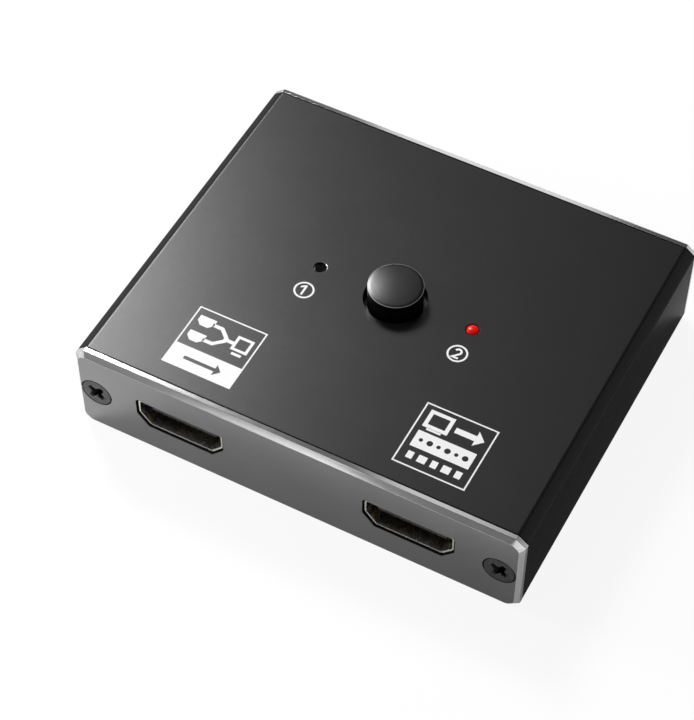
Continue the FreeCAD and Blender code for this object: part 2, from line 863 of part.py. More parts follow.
def make_small_parts(label, shares, height):
    """A group of like small parts, standing at their shares of the board."""
    piece = new_body(label)
    outline = new_sketch(piece, "XY_Plane", "board_top")
    for across, along in shares:
        middled(outline, "board_half_width * %g" % across, "board_half_depth * %g" % along,
                "small_length", "small_width")
    pad(piece, outline, height)
    return piece


def make_surge_arrays(sockets):
    """Two protection arrays behind each socket's tails."""
    piece = new_body("surge_arrays")
    outline = new_sketch(piece, "XY_Plane", "board_top")
    for spot in sockets:
        way = -1 if spot["turn"] else 1
        for sign in ("-", "+"):
            middled(outline, "%s %s array_spacing / 2" % (spot["x"], sign),
                    "%s + %d * (tail_face + tail_foot + array_clear)" % (spot["y"], way),
                    "array_length", "array_width")
    pad(piece, outline, "array_height")
    return piece


front_sockets = ("-(socket_place)", "socket_place")
socket_spots = {
    "input_1": at(front_sockets[0], "-(mouth_place)", "socket_height"),
    "input_2": at(front_sockets[1], "-(mouth_place)", "socket_height"),
    "output": at("0", "mouth_place", "socket_height", 180),
}

nodes = [
    make_case(),
    make_plate("front_plate", front_sockets, at()),
    make_plate("rear_plate", ("0",), at(turn=180)),
    make_screws("front_screws", 0),
    make_screws("rear_screws", 180),
    make_board(socket_spots.values()),
]
for name, spot in socket_spots.items():
    nodes.append(make_shell(name + "_shell", spot))
    contacts = make_contacts(name + "_contacts", spot)
    nodes.append(contacts)
    nodes.append(make_insulator(name + "_insulator", contacts, spot))
pins = make_switch_pins()
nodes += [
    make_button(),
    make_switch_housing(),
    pins,
    make_switch_base(pins),
    make_plunger(),
    make_bridge(),
    make_spring(),
    make_lamps(),
    make_light_guide("light_guide_1", "-"),
    make_light_guide("light_guide_2", "+"),
    make_chip(),
    make_small_parts("resistors", RESISTOR_SHARES, "resistor_height"),
    make_small_parts("capacitors", CAPACITOR_SHARES, "capacitor_height"),
    make_surge_arrays(socket_spots.values()),
]

doc.recompute()
for item in doc.Objects:
    if "Invalid" in item.State or "Error" in item.State:
        raise RuntimeError("%s did not build" % item.Label)
for node in nodes:
    if node.Shape.isNull() or not node.Shape.isValid() or not node.Shape.Solids:
        raise RuntimeError("%s has no valid solid" % node.Label)

os.makedirs("parts", exist_ok=True)
for node in nodes:
    node.Shape.exportStep("parts/%s.step" % node.Label)
    print("%-24s %2d solids %9.3f mm3" % (node.Label, len(node.Shape.Solids), node.Shape.Volume))
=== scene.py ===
"""Looks of a flat aluminium video switch box, built round its packed construction.

Each piece stands in the frame of the construction, in metres: +Z up, the two input sockets towards -Y.
"""
import math

import bmesh
import bpy
from mathutils import Matrix, Vector


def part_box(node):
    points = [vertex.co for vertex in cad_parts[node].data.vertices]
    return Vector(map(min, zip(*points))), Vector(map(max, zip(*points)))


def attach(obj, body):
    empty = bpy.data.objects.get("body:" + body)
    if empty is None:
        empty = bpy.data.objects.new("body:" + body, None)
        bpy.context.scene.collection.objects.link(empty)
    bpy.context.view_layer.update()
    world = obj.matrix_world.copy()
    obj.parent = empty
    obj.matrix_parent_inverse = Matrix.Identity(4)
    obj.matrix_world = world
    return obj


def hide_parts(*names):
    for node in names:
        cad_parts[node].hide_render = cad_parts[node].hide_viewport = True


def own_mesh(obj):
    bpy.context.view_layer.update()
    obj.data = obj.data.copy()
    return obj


bl_info = {
    "name": "Video switch box",
    "version": (1, 0, 0),
    "blender": (4, 5, 0),
    "location": "View3D > Sidebar > Switch Box",
    "description": "Builds the pieces, finishes and studio of an aluminium video switch box",
    "category": "Object",
}

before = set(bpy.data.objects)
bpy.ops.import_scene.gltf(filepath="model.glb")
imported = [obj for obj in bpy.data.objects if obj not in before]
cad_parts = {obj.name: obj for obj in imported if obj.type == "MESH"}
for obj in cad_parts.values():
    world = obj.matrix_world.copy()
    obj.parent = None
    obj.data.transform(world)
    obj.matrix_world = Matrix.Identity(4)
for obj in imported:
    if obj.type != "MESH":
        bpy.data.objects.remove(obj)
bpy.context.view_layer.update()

MM = 0.001
# Each socket, with its way into the box along Y: 1 from the front and -1 from the rear
SOCKETS = {"input_1": 1, "input_2": 1, "output": -1}

# Steps of a fold, a long edge, the button's dome and a screw boss
FOLD_STEPS, EDGE_STEPS, DOME_STEPS, BOSS_STEPS = 4, 6, 8, 12
# Steps of a circle, a printed ring and a turned circle
CIRCLE_STEPS, RING_STEPS, LATHE_STEPS = 64, 72, 96
# Steps of a turn of the spring, and of its wire's section
COIL_STEPS, WIRE_STEPS = 32, 12

# Points nearer than this are one point
MERGE = 0.0005 * MM
# Edges that turn by more than SHARP are sharp, or by more than WIRE_SHARP on wire. Those under FLAT dissolve
SHARP, WIRE_SHARP, FLAT = math.radians(28), math.radians(50), math.radians(0.5)
# Width of the camera's sensor in millimetres, and the nearest and farthest it sees in metres
SENSOR, NEAREST, FARTHEST = 36, 0.01, 20


def low(node):
    """Lowest corner of a node of the construction."""
    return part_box(node)[0]


def high(node):
    """Highest corner of a node of the construction."""
    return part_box(node)[1]


def middle(node):
    """Middle of a node of the construction."""
    return (low(node) + high(node)) / 2


def ends(node, way):
    """Outer and inner end of a node along Y, where way is 1 in the front of the box and -1 in its rear."""
    near, far = low(node).y, high(node).y
    return (near, far) if way > 0 else (far, near)


def amount(label, text, value, **limits):
    """A property for a number."""
    return bpy.props.FloatProperty(name=label, description=text, default=value, **limits)


def length(label, text, size):
    """A property for a length in millimetres, kept in metres."""
    return amount(label, text, size * MM, min=0, unit="LENGTH", precision=5)


def coordinate(label, text, size):
    """A property for a coordinate in millimetres, kept in metres."""
    return amount(label, text, size * MM, unit="LENGTH", precision=5)


def share(label, text, value):
    """A property for a number from 0 to 1."""
    return amount(label, text, value, min=0, max=1, subtype="FACTOR")


def angle(label, text, degrees):
    """A property for an angle in degrees, kept in radians."""
    return amount(label, text, math.radians(degrees), unit="ROTATION")


def count(label, text, value):
    """A property for a whole number."""
    return bpy.props.IntProperty(name=label, description=text, default=value, min=1)


def nested(kind, label, text):
    """A property for a group of settings."""
    return bpy.props.PointerProperty(type=kind, name=label, description=text)


def colour(label, text, red, green, blue):
    """A property for a colour."""
    return bpy.props.FloatVectorProperty(
        name=label, description=text, default=(red, green, blue), size=3, min=0, max=1, subtype="COLOR")


class CaseSizes(bpy.types.PropertyGroup):
    """Sizes of the extruded tube."""
    corner_across: length("Corner across", "Width of the corner bevel, seen from above", 1.6)
    corner_down: length("Corner down", "Height of the corner bevel, seen from the side", 1.3)
    corner_round: length("Corner round", "Radius of the extrusion's long edges", 0.6)
    shoulder: length("Shoulder", "Width of the faint slope between the roof and a corner bevel", 0.32)
    shoulder_down: length("Shoulder down", "How far that slope falls", 0.04)
    wall: length("Wall", "Thickness of roof, floor and sides", 1.5)
    ledge_width: length("Ledge width", "How far the board's ledges stand in from the sides", 1.9)
    ledge_thickness: length("Ledge thickness", "Thickness of the board's ledges", 1.0)
    boss_radius: length("Boss radius", "Outer radius of the screw bosses", 2.3)
    boss_slot: length("Boss slot", "Width of the slot along a screw boss", 1.0)
    boss_web: length("Boss web", "Height of the web that carries a screw boss", 3.6)
    button_hole: length("Button hole", "Radius of the button's hole", 5.0)
    lamp_hole: length("Lamp hole", "Radius of a lamp's hole", 1.05)
    lamp_sink: length("Lamp sink", "Width of the bevel round a lamp's hole", 0.07)
    edge: length("Edge", "Width of the broken edges at holes and ends", 0.12)


class PlateSizes(bpy.types.PropertyGroup):
    """Sizes of the two end plates and their screws."""
    edge: length("Flat edge", "From the joint to the bevel", 0.93)
    slope: length("Edge slope", "How far the flat edge falls away towards the bevel", 0.046)
    groove: length("Groove", "Width of the shadow line along the joint", 0.2)
    groove_depth: length("Groove depth", "Depth of the shadow line along the joint", 0.35)
    corner_round: length("Corner round", "Radius of the outline's corners", 0.12)
    face_round: length("Face round", "Radius of the face's corners, inside the bevel", 1.2)
    cutout_gap: length("Cut-out gap", "Gap between a socket's shell and the plate", 0.25)
    sink_radius: length("Countersink radius", "Radius of a countersink at the face", 2.68)
    bore_radius: length("Bore radius", "Radius of a screw hole", 1.45)
    soften: length("Soft edge", "Width of the broken edges", 0.06)
    head_seat: length("Head seat", "Radius that a screw head fills in the construction", 2.7)
    head_radius: length("Head radius", "Radius of a screw head", 2.48)
    head_height: length("Head height", "Height of a screw's countersunk head", 1.55)
    head_rim: length("Head rim", "Height of the upright rim of a screw head", 0.12)
    shank_radius: length("Shank radius", "Radius of a screw's shank", 1.35)
    cross_length: length("Cross length", "Length of the cross recess", 3.3)
    cross_width: length("Cross width", "Width of an arm of the cross recess", 0.86)
    cross_depth: length("Cross depth", "Depth of the cross recess", 1.1)
    cross_floor: share("Cross floor", "Size of the recess's floor as a share of its mouth", 0.5)
    screw_turn: angle("Screw turn", "How far the screws' crosses are turned", 24)
    screw_spread: amount("Screw spread", "Most that one turns past or short of that", 0.35, unit="ROTATION")


class SocketSizes(bpy.types.PropertyGroup):
    """Sizes of the video sockets."""
    opening_width: length("Opening width", "Widest part of the opening", 14.0)
    opening_height: length("Opening height", "Height of the opening", 4.55)
    opening_side: length("Opening side", "Height of the upright sides", 2.6)
    opening_base: length("Opening base", "Width of the lower side", 10.6)
    corner_round: length("Corner round", "Outer radius of the folds", 0.6)
    shell_wall: length("Shell wall", "Thickness of the folded sheet", 0.3)
    lip: length("Lip", "How far the sheet is rounded at the mouth", 0.1)
    finger_start: length("Finger start", "From the mouth to the free end of a spring finger", 3.0)
    finger_length: length("Finger length", "Length of a spring finger", 4.4)
    finger_width: length("Finger width", "Width of a spring finger", 1.5)
    finger_slit: length("Finger slit", "Gap round a spring finger", 0.4)
    finger_pitch: length("Finger pitch", "Distance between two spring fingers", 6.4)
    finger_dip: length("Finger dip", "How far a spring finger bends into the opening", 0.45)
    leg_width: length("Leg width", "Width of a solder leg", 1.2)
    leg_first: length("First legs", "From the mouth to the first pair of legs", 3.4)
    leg_second: length("Second legs", "From the mouth to the second pair of legs", 9.2)
    contact_pitch: length("Contact pitch", "Distance between two contacts of a row", 1.0)
    contact_width: length("Contact width", "Width of a contact", 0.3)
    contact_thickness: length("Contact thickness", "Thickness of a contact", 0.15)
    contact_bend: length("Contact bend", "Outer radius of a contact's bends", 0.3)
    contact_foot: length("Contact foot", "Length of a contact's foot", 0.9)
    upper_contacts: count("Upper contacts", "Contacts on top of the tongue", 10)
    lower_contacts: count("Lower contacts", "Contacts under the tongue", 9)


class ButtonSizes(bpy.types.PropertyGroup):
    """Sizes of the push button and of the lamps' windows."""
    radius: length("Button radius", "Radius of the button", 4.35)
    rim: length("Bright rim", "Width of the bright turned rim", 0.08)
    crown: length("Crown", "How far the top bulges", 0.235)
    roof: length("Roof", "Thickness of the button's top", 1.2)
    wall: length("Wall", "Thickness of the button's side", 1.0)
    flange_thickness: length("Flange thickness", "Thickness of the retaining flange", 0.9)
    boss_radius: length("Boss radius", "Radius of the boss for the stem", 2.9)
    boss_below: length("Boss below", "How far the boss stands out below the flange", 0.3)
    stem_side: length("Stem side", "Side of the stem's square socket", 3.3)
    window_radius: length("Window radius", "Radius of a light guide's tip", 0.94)
    window_dome: length("Window dome", "How far the lit light guide's tip bulges", 0.4)
    window_sink: length("Window sink", "How deep the unlit light guide's tip lies under the roof", 0.25)
    window_crown: length("Window crown", "How far the unlit light guide's tip bulges", 0.03)
    collar_height: length("Collar height", "Height of a light guide's collar", 0.8)
    spring_turns: amount("Spring turns", "Turns of the return spring", 4.0, min=0)
    spring_wire: length("Spring wire", "Radius of the return spring's wire", 0.13)


class PrintSizes(bpy.types.PropertyGroup):
    """Sizes of the white print on the roof."""
    thickness: length("Ink thickness", "How far the ink stands above the roof", 0.012)
    ring_radius: length("Ring radius", "Outer radius of a ring round a number", 1.63)
    ring_line: length("Ring line", "Width of a ring's line", 0.30)
    ring_ahead: length("Ring ahead", "From a lamp to the middle of its ring", 5.18)
    digit_height: length("Digit height", "Height of the numbers", 2.0)
    digit_line: length("Digit line", "Width of the numbers' strokes", 0.34)
    block_side: length("Block side", "Side of a printed square", 11.75)
    block_line: length("Block line", "Width of a printed square's outline", 0.24)
    routing_across: length("Routing across", "From the roof's middle to the left square's middle", 18.85)
    screen_across: length("Screen across", "From the roof's middle to the right square's middle", 19.85)
    block_ahead: length("Block ahead", "From the roof's middle forwards to a square's middle", 21.2)
    stroke: length("Stroke", "Width of the lines of a printed diagram", 0.62)


class Finishes(bpy.types.PropertyGroup):
    """Colours of the finishes."""
    anodised: colour("Anodised tube", "Colour of the black tube", 0.029, 0.029, 0.029)
    turned: colour("Turned button", "Colour of the black button", 0.033, 0.033, 0.033)
    plate: colour("Plate face", "Colour of the end plates' faces", 0.21, 0.21, 0.21)
    cut: colour("Cut edge", "Colour of the plates' bright cut edges", 0.78, 0.78, 0.78)
    # Painted shade: the plates' cut edges at the left end get this duller colour to hold back the light that
    # falls there.
    painted_shade_cut: colour("Left cut edge", "Colour of the plates' cut edges at the left end", 0.33, 0.33, 0.33)
    # On the button's rim this is the rim's own bright metal. On the left lamp hole's bevel alone it is a
    # painted glint.
    rim: colour("Turned rims", "Colour of the button's rim and the left lamp hole's bevel", 0.25, 0.25, 0.25)
    screw: colour("Screw", "Colour of the blackened screws", 0.04, 0.04, 0.041)
    nickel: colour("Nickel", "Colour of the sockets' shells", 0.72, 0.70, 0.66)
    gold: colour("Gold", "Colour of the contacts", 0.83, 0.60, 0.24)
    moulding: colour("Moulding", "Colour of the black mouldings", 0.02, 0.02, 0.02)
    ink: colour("Ink", "Colour of the print", 0.74, 0.74, 0.74)
    lit: colour("Lit window", "Colour of the lit lamp's window", 0.68, 0.004, 0.003)
    # Painted shade: this near black stands in for the dark inside the unlit lamp's hole.
    unlit: colour("Unlit window", "Colour of the other lamp's window", 0.0015, 0.0015, 0.0015)
    laminate: colour("Laminate", "Colour of the board's mask", 0.015, 0.11, 0.045)


class StageSettings(bpy.types.PropertyGroup):
    """The studio and the camera."""
    azimuth: angle("Azimuth", "The camera's direction round the box", 28.087)
    elevation: angle("Elevation", "The camera's height above the horizon", 52.181)
    distance: length("Distance", "From the camera to the point it looks at", 357.433)
    aim_x: coordinate("Aim across", "Point looked at, across", -6.414)
    aim_y: coordinate("Aim along", "Point looked at, along", -2.397)
    lens: amount("Lens", "Focal length in millimetres on a 36 mm sensor", 112.452, min=1)
    floor_size: length("Floor size", "Side of the floor", 6000)
    floor_colour: colour("Floor colour", "Colour of the floor", 0.84, 0.84, 0.84)
    floor_glow: share("Floor glow", "How much of the floor's paleness is plain white to the camera", 0.9)
    floor_gloss: share("Floor gloss", "How much of that plain white shows in glossy metal", 0.07)
    upper_wall: share("Upper wall", "Brightness of the room halfway up", 0.17)
    ceiling: share("Ceiling", "Brightness of the room overhead", 0.04)
    fill: share("Fill", "Brightness of the room as light on the box", 0.18)


class SwitchBoxSettings(bpy.types.PropertyGroup):
    """All settings of the switch box."""
    case: nested(CaseSizes, "Case", "Sizes of the tube")
    plate: nested(PlateSizes, "Plates", "Sizes of plates and screws")
    socket: nested(SocketSizes, "Sockets", "Sizes of the sockets")
    button: nested(ButtonSizes, "Button", "Sizes of button and windows")
    ink: nested(PrintSizes, "Print", "Sizes of the print")
    finish: nested(Finishes, "Finishes", "Colours of the finishes")
    stage: nested(StageSettings, "Stage", "Studio and camera")


class Value:
    """An output of a node. Sums written with it add Math nodes."""

    def __init__(self, tree, output):
        self.tree = tree
        self.output = output

    def pick(self, name):
        """Another output of the same node, by its name or number."""
        return Value(self.tree, self.output.node.outputs[name])

    def math(self, operation, *values):
        """A Math node on these values."""
        return self.tree.node("ShaderNodeMath", {"operation": operation}, dict(enumerate(values)))

    def __add__(self, other):
        return self.math("ADD", self, other)

    def __sub__(self, other):
        return self.math("SUBTRACT", self, other)

    def __mul__(self, other):
        return self.math("MULTIPLY", self, other)

    def __truediv__(self, other):
        return self.math("DIVIDE", self, other)

    def __pow__(self, other):
        return self.math("POWER", self, other)

    def __rsub__(self, other):
        return self.math("SUBTRACT", other, self)

    def clear(self):
        """The value held between 0 and 1."""
        return self.math("MAXIMUM", self.math("MINIMUM", self, 1.0), 0.0)


class Tree:
    """A node tree that is written as Python expressions."""

    def __init__(self, tree):
        self.tree = tree

    def node(self, kind, settings=None, values=None):
        """Add a node: settings first, then the values or links of its sockets. Returns its first output."""
        made = self.tree.nodes.new(kind)
        for name, value in (settings or {}).items():
            if name == "stops":
                self.set_stops(made, value)
            else:
                setattr(made, name, value)
        for key, value in (values or {}).items():
            if isinstance(value, Value):
                self.tree.links.new(value.output, made.inputs[key])
            else:
                made.inputs[key].default_value = value
        return Value(self, made.outputs[0]) if made.outputs else None

    def set_stops(self, ramp, stops):
        """Give a colour ramp its stops, as pairs of a position and a grey."""
        elements = ramp.color_ramp.elements
        while len(elements) > len(stops):
            elements.remove(elements[-1])
        while len(elements) < len(stops):
            elements.new(1)
        for element, (position, grey) in zip(elements, stops):
            element.position = position
            element.color = (grey, grey, grey, 1)

    def ramp(self, value, *stops):
        """A value run through a grey ramp."""
        return self.node("ShaderNodeValToRGB", {"stops": stops}, {"Fac": value})

    def mix(self, factor, first, second):
        """A mix of two colours."""
        return self.node("ShaderNodeMix", {"data_type": "RGBA"}, {0: factor, 6: first, 7: second}).pick(2)


class Finish(Tree):
    """A procedural material on the object's own coordinates."""

    def __init__(self, name):
        self.material = bpy.data.materials.new(name)
        self.material.use_nodes = True
        super().__init__(self.material.node_tree)
        self.tree.nodes.clear()

    def place(self, stretch=(1, 1, 1)):
        """The object's coordinates in millimetres, stretched."""
        spot = self.node("ShaderNodeTexCoord").pick("Object")
        scale = [1 / (MM * part) for part in stretch]
        return self.node("ShaderNodeMapping", None, {"Vector": spot, "Scale": scale})

    def noise(self, size, detail=2.0, stretch=(1, 1, 1)):
        """Noise whose lumps measure about this many millimetres."""
        return self.node("ShaderNodeTexNoise", None, {
            "Vector": self.place(stretch), "Scale": 1 / size, "Detail": detail, "Roughness": 0.55})

    def bump(self, height, depth, strength):
        """A normal from a height, where 1 stands for this many millimetres."""
        return self.node("ShaderNodeBump", None, {
            "Height": height, "Distance": depth * MM, "Strength": strength})

    def shader(self, **values):
        """Finish with a Principled shader. An underscore in a name stands for a space."""
        named = {name.replace("_", " "): value for name, value in values.items()}
        surface = self.node("ShaderNodeBsdfPrincipled", None, named)
        self.node("ShaderNodeOutputMaterial", None, {"Surface": surface})
        return self.material


def rgba(value, times=1.0):
    """A colour property as four numbers."""
    return (value[0] * times, value[1] * times, value[2] * times, 1)


def anodised_finish(name, shade, roughness=0.244):
    """Satin black anodised aluminium with a fine bead-blasted grain."""
    finish = Finish(name)
    grain = finish.noise(0.09)
    cloud = finish.noise(9.0)
    tone = (grain * 0.35 + cloud * 0.65 - 0.5).clear() * 0.5
    return finish.shader(
        Base_Color=finish.mix(tone, rgba(shade), rgba(shade, 1.15)),
        Metallic=0.77,
        Roughness=cloud * 0.03 + grain * 0.03 + roughness,
        Specular_IOR_Level=0.0,
        Specular_Tint=(0.5, 0.5, 0.5, 1),
        Normal=finish.bump(grain, 0.0008, 0.5),
    )


def plate_finish(name, shade):
    """Satin anodised plate face with a fine grain."""
    finish = Finish(name)
    grain = finish.noise(0.10)
    cloud = finish.noise(6.0)
    return finish.shader(
        Base_Color=finish.mix(cloud * 0.5 + grain * 0.2, rgba(shade, 0.9), rgba(shade, 1.15)),
        Metallic=0.9,
        Roughness=cloud * 0.05 + grain * 0.03 + 0.26,
        Normal=finish.bump(grain, 0.0015, 0.6),
    )


def cut_finish(name, shade, roughness=0.12, stretch=(30, 1, 1)):
    """Bright bevel cut by a milling tool, with fine lines along the cut."""
    finish = Finish(name)
    line = finish.noise(0.05, 3.0, stretch)
    cloud = finish.noise(2.5)
    return finish.shader(
        Base_Color=finish.mix(line, rgba(shade, 0.84), rgba(shade)),
        Metallic=1.0,
        Roughness=line * 0.02 + cloud * 0.02 + roughness - 0.02,
        Normal=finish.bump(line, 0.0003, 0.3),
    )


def screw_finish(name, shade, face):
    """Black oxide on steel, a little worn on the face, with painted shade that turns the recess behind the
    face plain black.
    """
    finish = Finish(name)
    cloud = finish.noise(0.45, 4.0)
    rings = finish.noise(0.12, 2.0, (1, 6, 1))
    along = finish.node("ShaderNodeSeparateXYZ", None, {"Vector": finish.place()}).pick("Y")
    # Painted shade: the colour falls to plain black deeper than the head's face, inside the cross recess.
    behind = ((face / MM - 0.1 - (along * along) ** 0.5) / 0.25).clear()
    worn = finish.mix(finish.ramp(cloud, (0.4, 0.0), (0.75, 1.0)), rgba(shade), rgba(shade, 2.2))
    return finish.shader(
        Base_Color=finish.mix(behind, worn, rgba(shade, 0.08)),
        Metallic=0.7,
        Roughness=cloud * 0.18 + 0.30,
        Normal=finish.bump(rings, 0.004, 0.5),
    )


def button_finish(name, shade):
    """Black satin turned metal: the top has fine rings from the lathe."""
    finish = Finish(name)
    grain = finish.noise(0.08)
    cloud = finish.noise(3.0)
    spot = finish.node("ShaderNodeSeparateXYZ", None, {"Vector": finish.place()})
    radius = (spot * spot + spot.pick("Y") * spot.pick("Y")) ** 0.5
    rings = finish.node("ShaderNodeTexNoise", {"noise_dimensions": "1D"}, {
        "W": radius, "Scale": 14.0, "Detail": 2.0})
    return finish.shader(
        Base_Color=finish.mix(cloud, rgba(shade, 0.95), rgba(shade, 1.1)),
        Metallic=0.95,
        Roughness=rings * 0.03 + cloud * 0.03 + 0.235,
        Specular_IOR_Level=0.0,
        Normal=finish.bump(rings * 0.5 + grain * 0.5, 0.0010, 0.5),
    )


def metal_finish(name, shade, roughness, lump=1.2):
    """Plated or drawn metal with faint clouds."""
    finish = Finish(name)
    cloud = finish.noise(lump, 4.0)
    return finish.shader(
        Base_Color=finish.mix(cloud, rgba(shade, 0.85), rgba(shade)),
        Metallic=1.0,
        Roughness=cloud * 0.14 + roughness - 0.07,
        Normal=finish.bump(cloud, 0.002, 0.4),
    )


def moulded_finish(name, shade, roughness=0.45, lump=0.12):
    """Moulded plastic, resin or ceramic with a fine eroded texture."""
    finish = Finish(name)
    grain = finish.noise(lump, 3.0)
    cloud = finish.noise(lump * 20)
    return finish.shader(
        Base_Color=finish.mix(cloud, rgba(shade, 0.85), rgba(shade, 1.15)),
        Roughness=grain * 0.16 + roughness - 0.08,
        Normal=finish.bump(grain, 0.006, 0.5),
    )


def ink_finish(name, shade):
    """Screen-printed ink with a slight unevenness."""
    finish = Finish(name)
    grain = finish.noise(0.16, 3.0)
    return finish.shader(
        Base_Color=finish.mix(grain, rgba(shade, 0.94), rgba(shade)),
        Roughness=grain * 0.2 + 0.45,
        Specular_IOR_Level=0.2,
        Normal=finish.bump(grain, 0.003, 0.4),
    )


def window_finish(name, shade, glow, gloss, roughness):
    """Resin tip of a light guide: coloured by the lamp under it when lit, and painted near black as the
    shade in its hole when unlit.
    """
    finish = Finish(name)
    cloud = finish.noise(0.6)
    tint = finish.mix(cloud, rgba(shade, 0.7), rgba(shade))
    return finish.shader(
        Base_Color=tint,
        Roughness=cloud * 0.06 + roughness,
        Specular_IOR_Level=gloss,
        Emission_Color=tint,
        Emission_Strength=glow,
    )


def laminate_finish(name, shade):
    """Green solder mask with copper tracks that show through as a paler green."""
    finish = Finish(name)
    place = finish.place()
    track = finish.node("ShaderNodeTexVoronoi", {"feature": "DISTANCE_TO_EDGE", "distance": "MANHATTAN"}, {
        "Vector": place, "Scale": 0.45, "Randomness": 0.6})
    copper = finish.ramp(track, (0.05, 1.0), (0.09, 0.0))
    cloud = finish.noise(3.0, 3.0)
    return finish.shader(
        Base_Color=finish.mix(copper * 0.8 + cloud * 0.2, rgba(shade), rgba(shade, 1.9)),
        Roughness=cloud * 0.12 + 0.28,
        Normal=finish.bump(copper, 0.03, 0.6),
    )


def points_at(*pairs, x=0, y=0):
    """Points from pairs of lengths, counted from a place."""
    return [Vector((x + across, y + up)) for across, up in pairs]


def arc_points(x, y, radius, start, end, steps):
    """Points of an arc, both ends included."""
    turns = [start + (end - start) * step / steps for step in range(steps + 1)]
    return [Vector((x + radius * math.cos(turn), y + radius * math.sin(turn))) for turn in turns]


def circle_points(x, y, radius, steps=CIRCLE_STEPS):
    """Points of a circle."""
    return arc_points(x, y, radius, 0, 2 * math.pi, steps)[:-1]


def rectangle_points(left, right, down, up):
    """Corners of a rectangle, counterclockwise."""
    return points_at((left, down), (right, down), (right, up), (left, up))


def inset_points(points, inset):
    """A counterclockwise outline drawn in by a distance, each side kept parallel."""
    lines = []
    for index, point in enumerate(points):
        along = (points[(index + 1) % len(points)] - point).normalized()
        lines.append((point + Vector((-along.y, along.x)) * inset, along))
    moved = []
    for (start, along), (other, across) in zip(lines[-1:] + lines, lines):
        moved.append(start + along * ((other - start).cross(across) / along.cross(across)))
    return moved


def rounded_points(points, radius, steps=FOLD_STEPS):
    """An outline whose corners are arcs."""
    rounded = []
    for index, corner in enumerate(points):
        back = (points[index - 1] - corner).normalized()
        ahead = (points[(index + 1) % len(points)] - corner).normalized()
        half = back.angle(ahead) / 2
        centre = corner + (back + ahead).normalized() * radius / math.sin(half)
        start = corner + back * radius / math.tan(half) - centre
        end = corner + ahead * radius / math.tan(half) - centre
        turn = start.angle_signed(end)
        for step in range(steps + 1):
            rounded.append(centre + Matrix.Rotation(-turn * step / steps, 2) @ start)
    return rounded


def facing(axis, at):
    """A place for outlines that face along an axis: it turns a pair of lengths into a point."""
    if axis == "Y":
        return lambda across, up: Vector((across, at, up))
    if axis == "X":
        return lambda across, up: Vector((at, across, up))
    return lambda across, up: Vector((across, up, at))


def ring(form, points, place):
    """Put an outline in space."""
    return [form.verts.new(place(*point)) for point in points]


def walls(form, *rings):
    """Faces between each ring and the next. A ring of one point is the tip of a cone."""
    for first, second in zip(rings, rings[1:]):
        size = max(len(first), len(second))
        for index in range(size):
            after = (index + 1) % size
            corners = (first[index % len(first)], first[after % len(first)],
                       second[after % len(second)], second[index % len(second)])
            form.faces.new(list(dict.fromkeys(corners)))


def fill(form, *rings):
    """Fill the flat area between an outer ring and the rings of its holes."""
    edges = []
    for loop in rings:
        for pair in zip(loop[-1:] + loop, loop):
            edges.append(form.edges.get(pair) or form.edges.new(pair))
    bmesh.ops.triangle_fill(form, use_beauty=True, use_dissolve=False, edges=edges)


def tunnel(form, points, *places):
    """Rings of the same outline at several places, with walls between them."""
    rings = [ring(form, points, place) for place in places]
    walls(form, *rings)
    return rings


def prism(form, outlines, axis, start, end):
    """A solid along an axis. The first outline is its outside, and the others are openings through it."""
    tunnels = [tunnel(form, points, facing(axis, start), facing(axis, end)) for points in outlines]
    for rings in zip(*tunnels):
        fill(form, *rings)


def bar(form, sections):
    """A solid that runs through sections of as many points, closed at both ends."""
    rings = [[form.verts.new(point) for point in section] for section in sections]
    walls(form, *rings)
    form.faces.new(rings[0])
    form.faces.new(rings[-1])


def lathe(form, profile, centre, steps=LATHE_STEPS):
    """Turn a profile of radii and heights about an upright axis. A radius of 0 is a point on the axis."""
    rings = []
    for radius, height in profile:
        points = circle_points(centre.x, centre.y, radius, steps if radius else 1)
        rings.append(ring(form, points, facing("Z", height)))
    walls(form, *rings)


def bake(piece):
    """Make a piece's modifiers part of its mesh."""
    bpy.context.view_layer.update()
    graph = bpy.context.evaluated_depsgraph_get()
    mesh = bpy.data.meshes.new_from_object(
        piece.evaluated_get(graph), preserve_all_data_layers=True, depsgraph=graph)
    piece.modifiers.clear()
    piece.data = mesh
    mesh.name = piece.name


def new_piece(name, form, *finishes):
    """An object from a form: merged, faced outwards, and smooth up to its sharp edges."""
    bmesh.ops.remove_doubles(form, verts=form.verts, dist=MERGE)
    bmesh.ops.dissolve_degenerate(form, edges=form.edges, dist=MERGE)
    bmesh.ops.recalc_face_normals(form, faces=form.faces)
    for face in form.faces:
        face.smooth = True
    mesh = bpy.data.meshes.new(name)
    form.to_mesh(mesh)
    form.free()
    for finish in finishes:
        mesh.materials.append(finish)
    mesh.set_sharp_from_angle(angle=SHARP)
    piece = bpy.data.objects.new(name, mesh)
    bpy.context.scene.collection.objects.link(piece)
    return piece


def cut(piece, form):
    """Take the solids of a form away from a piece."""
    tool = new_piece(piece.name + "_tool", form)
    modifier = piece.modifiers.new("cut", "BOOLEAN")
    modifier.operation = "DIFFERENCE"
    modifier.solver = "EXACT"
    modifier.object = tool
    bake(piece)
    bpy.data.objects.remove(tool)


def soften(piece, width):
    """Break the sharp edges of a piece."""
    form = bmesh.new()
    form.from_mesh(piece.data)
    bmesh.ops.remove_doubles(form, verts=form.verts, dist=MERGE)
    bmesh.ops.dissolve_limit(
        form, angle_limit=FLAT, verts=form.verts, edges=form.edges, delimit={"MATERIAL"})
    for face in form.faces:
        face.smooth = True
    for edge in form.edges:
        edge.smooth = True
    form.to_mesh(piece.data)
    form.free()
    modifier = piece.modifiers.new("soften", "BEVEL")
    modifier.width = width
    modifier.segments = 2
    modifier.limit_method = "ANGLE"
    modifier.angle_limit = SHARP
    modifier.harden_normals = True
    bake(piece)


def settle(piece, body, *nodes):
    """Let a piece ride on a body, and hide the nodes of the construction that it stands in for."""
    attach(piece, body)
    if nodes:
        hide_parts(*nodes)


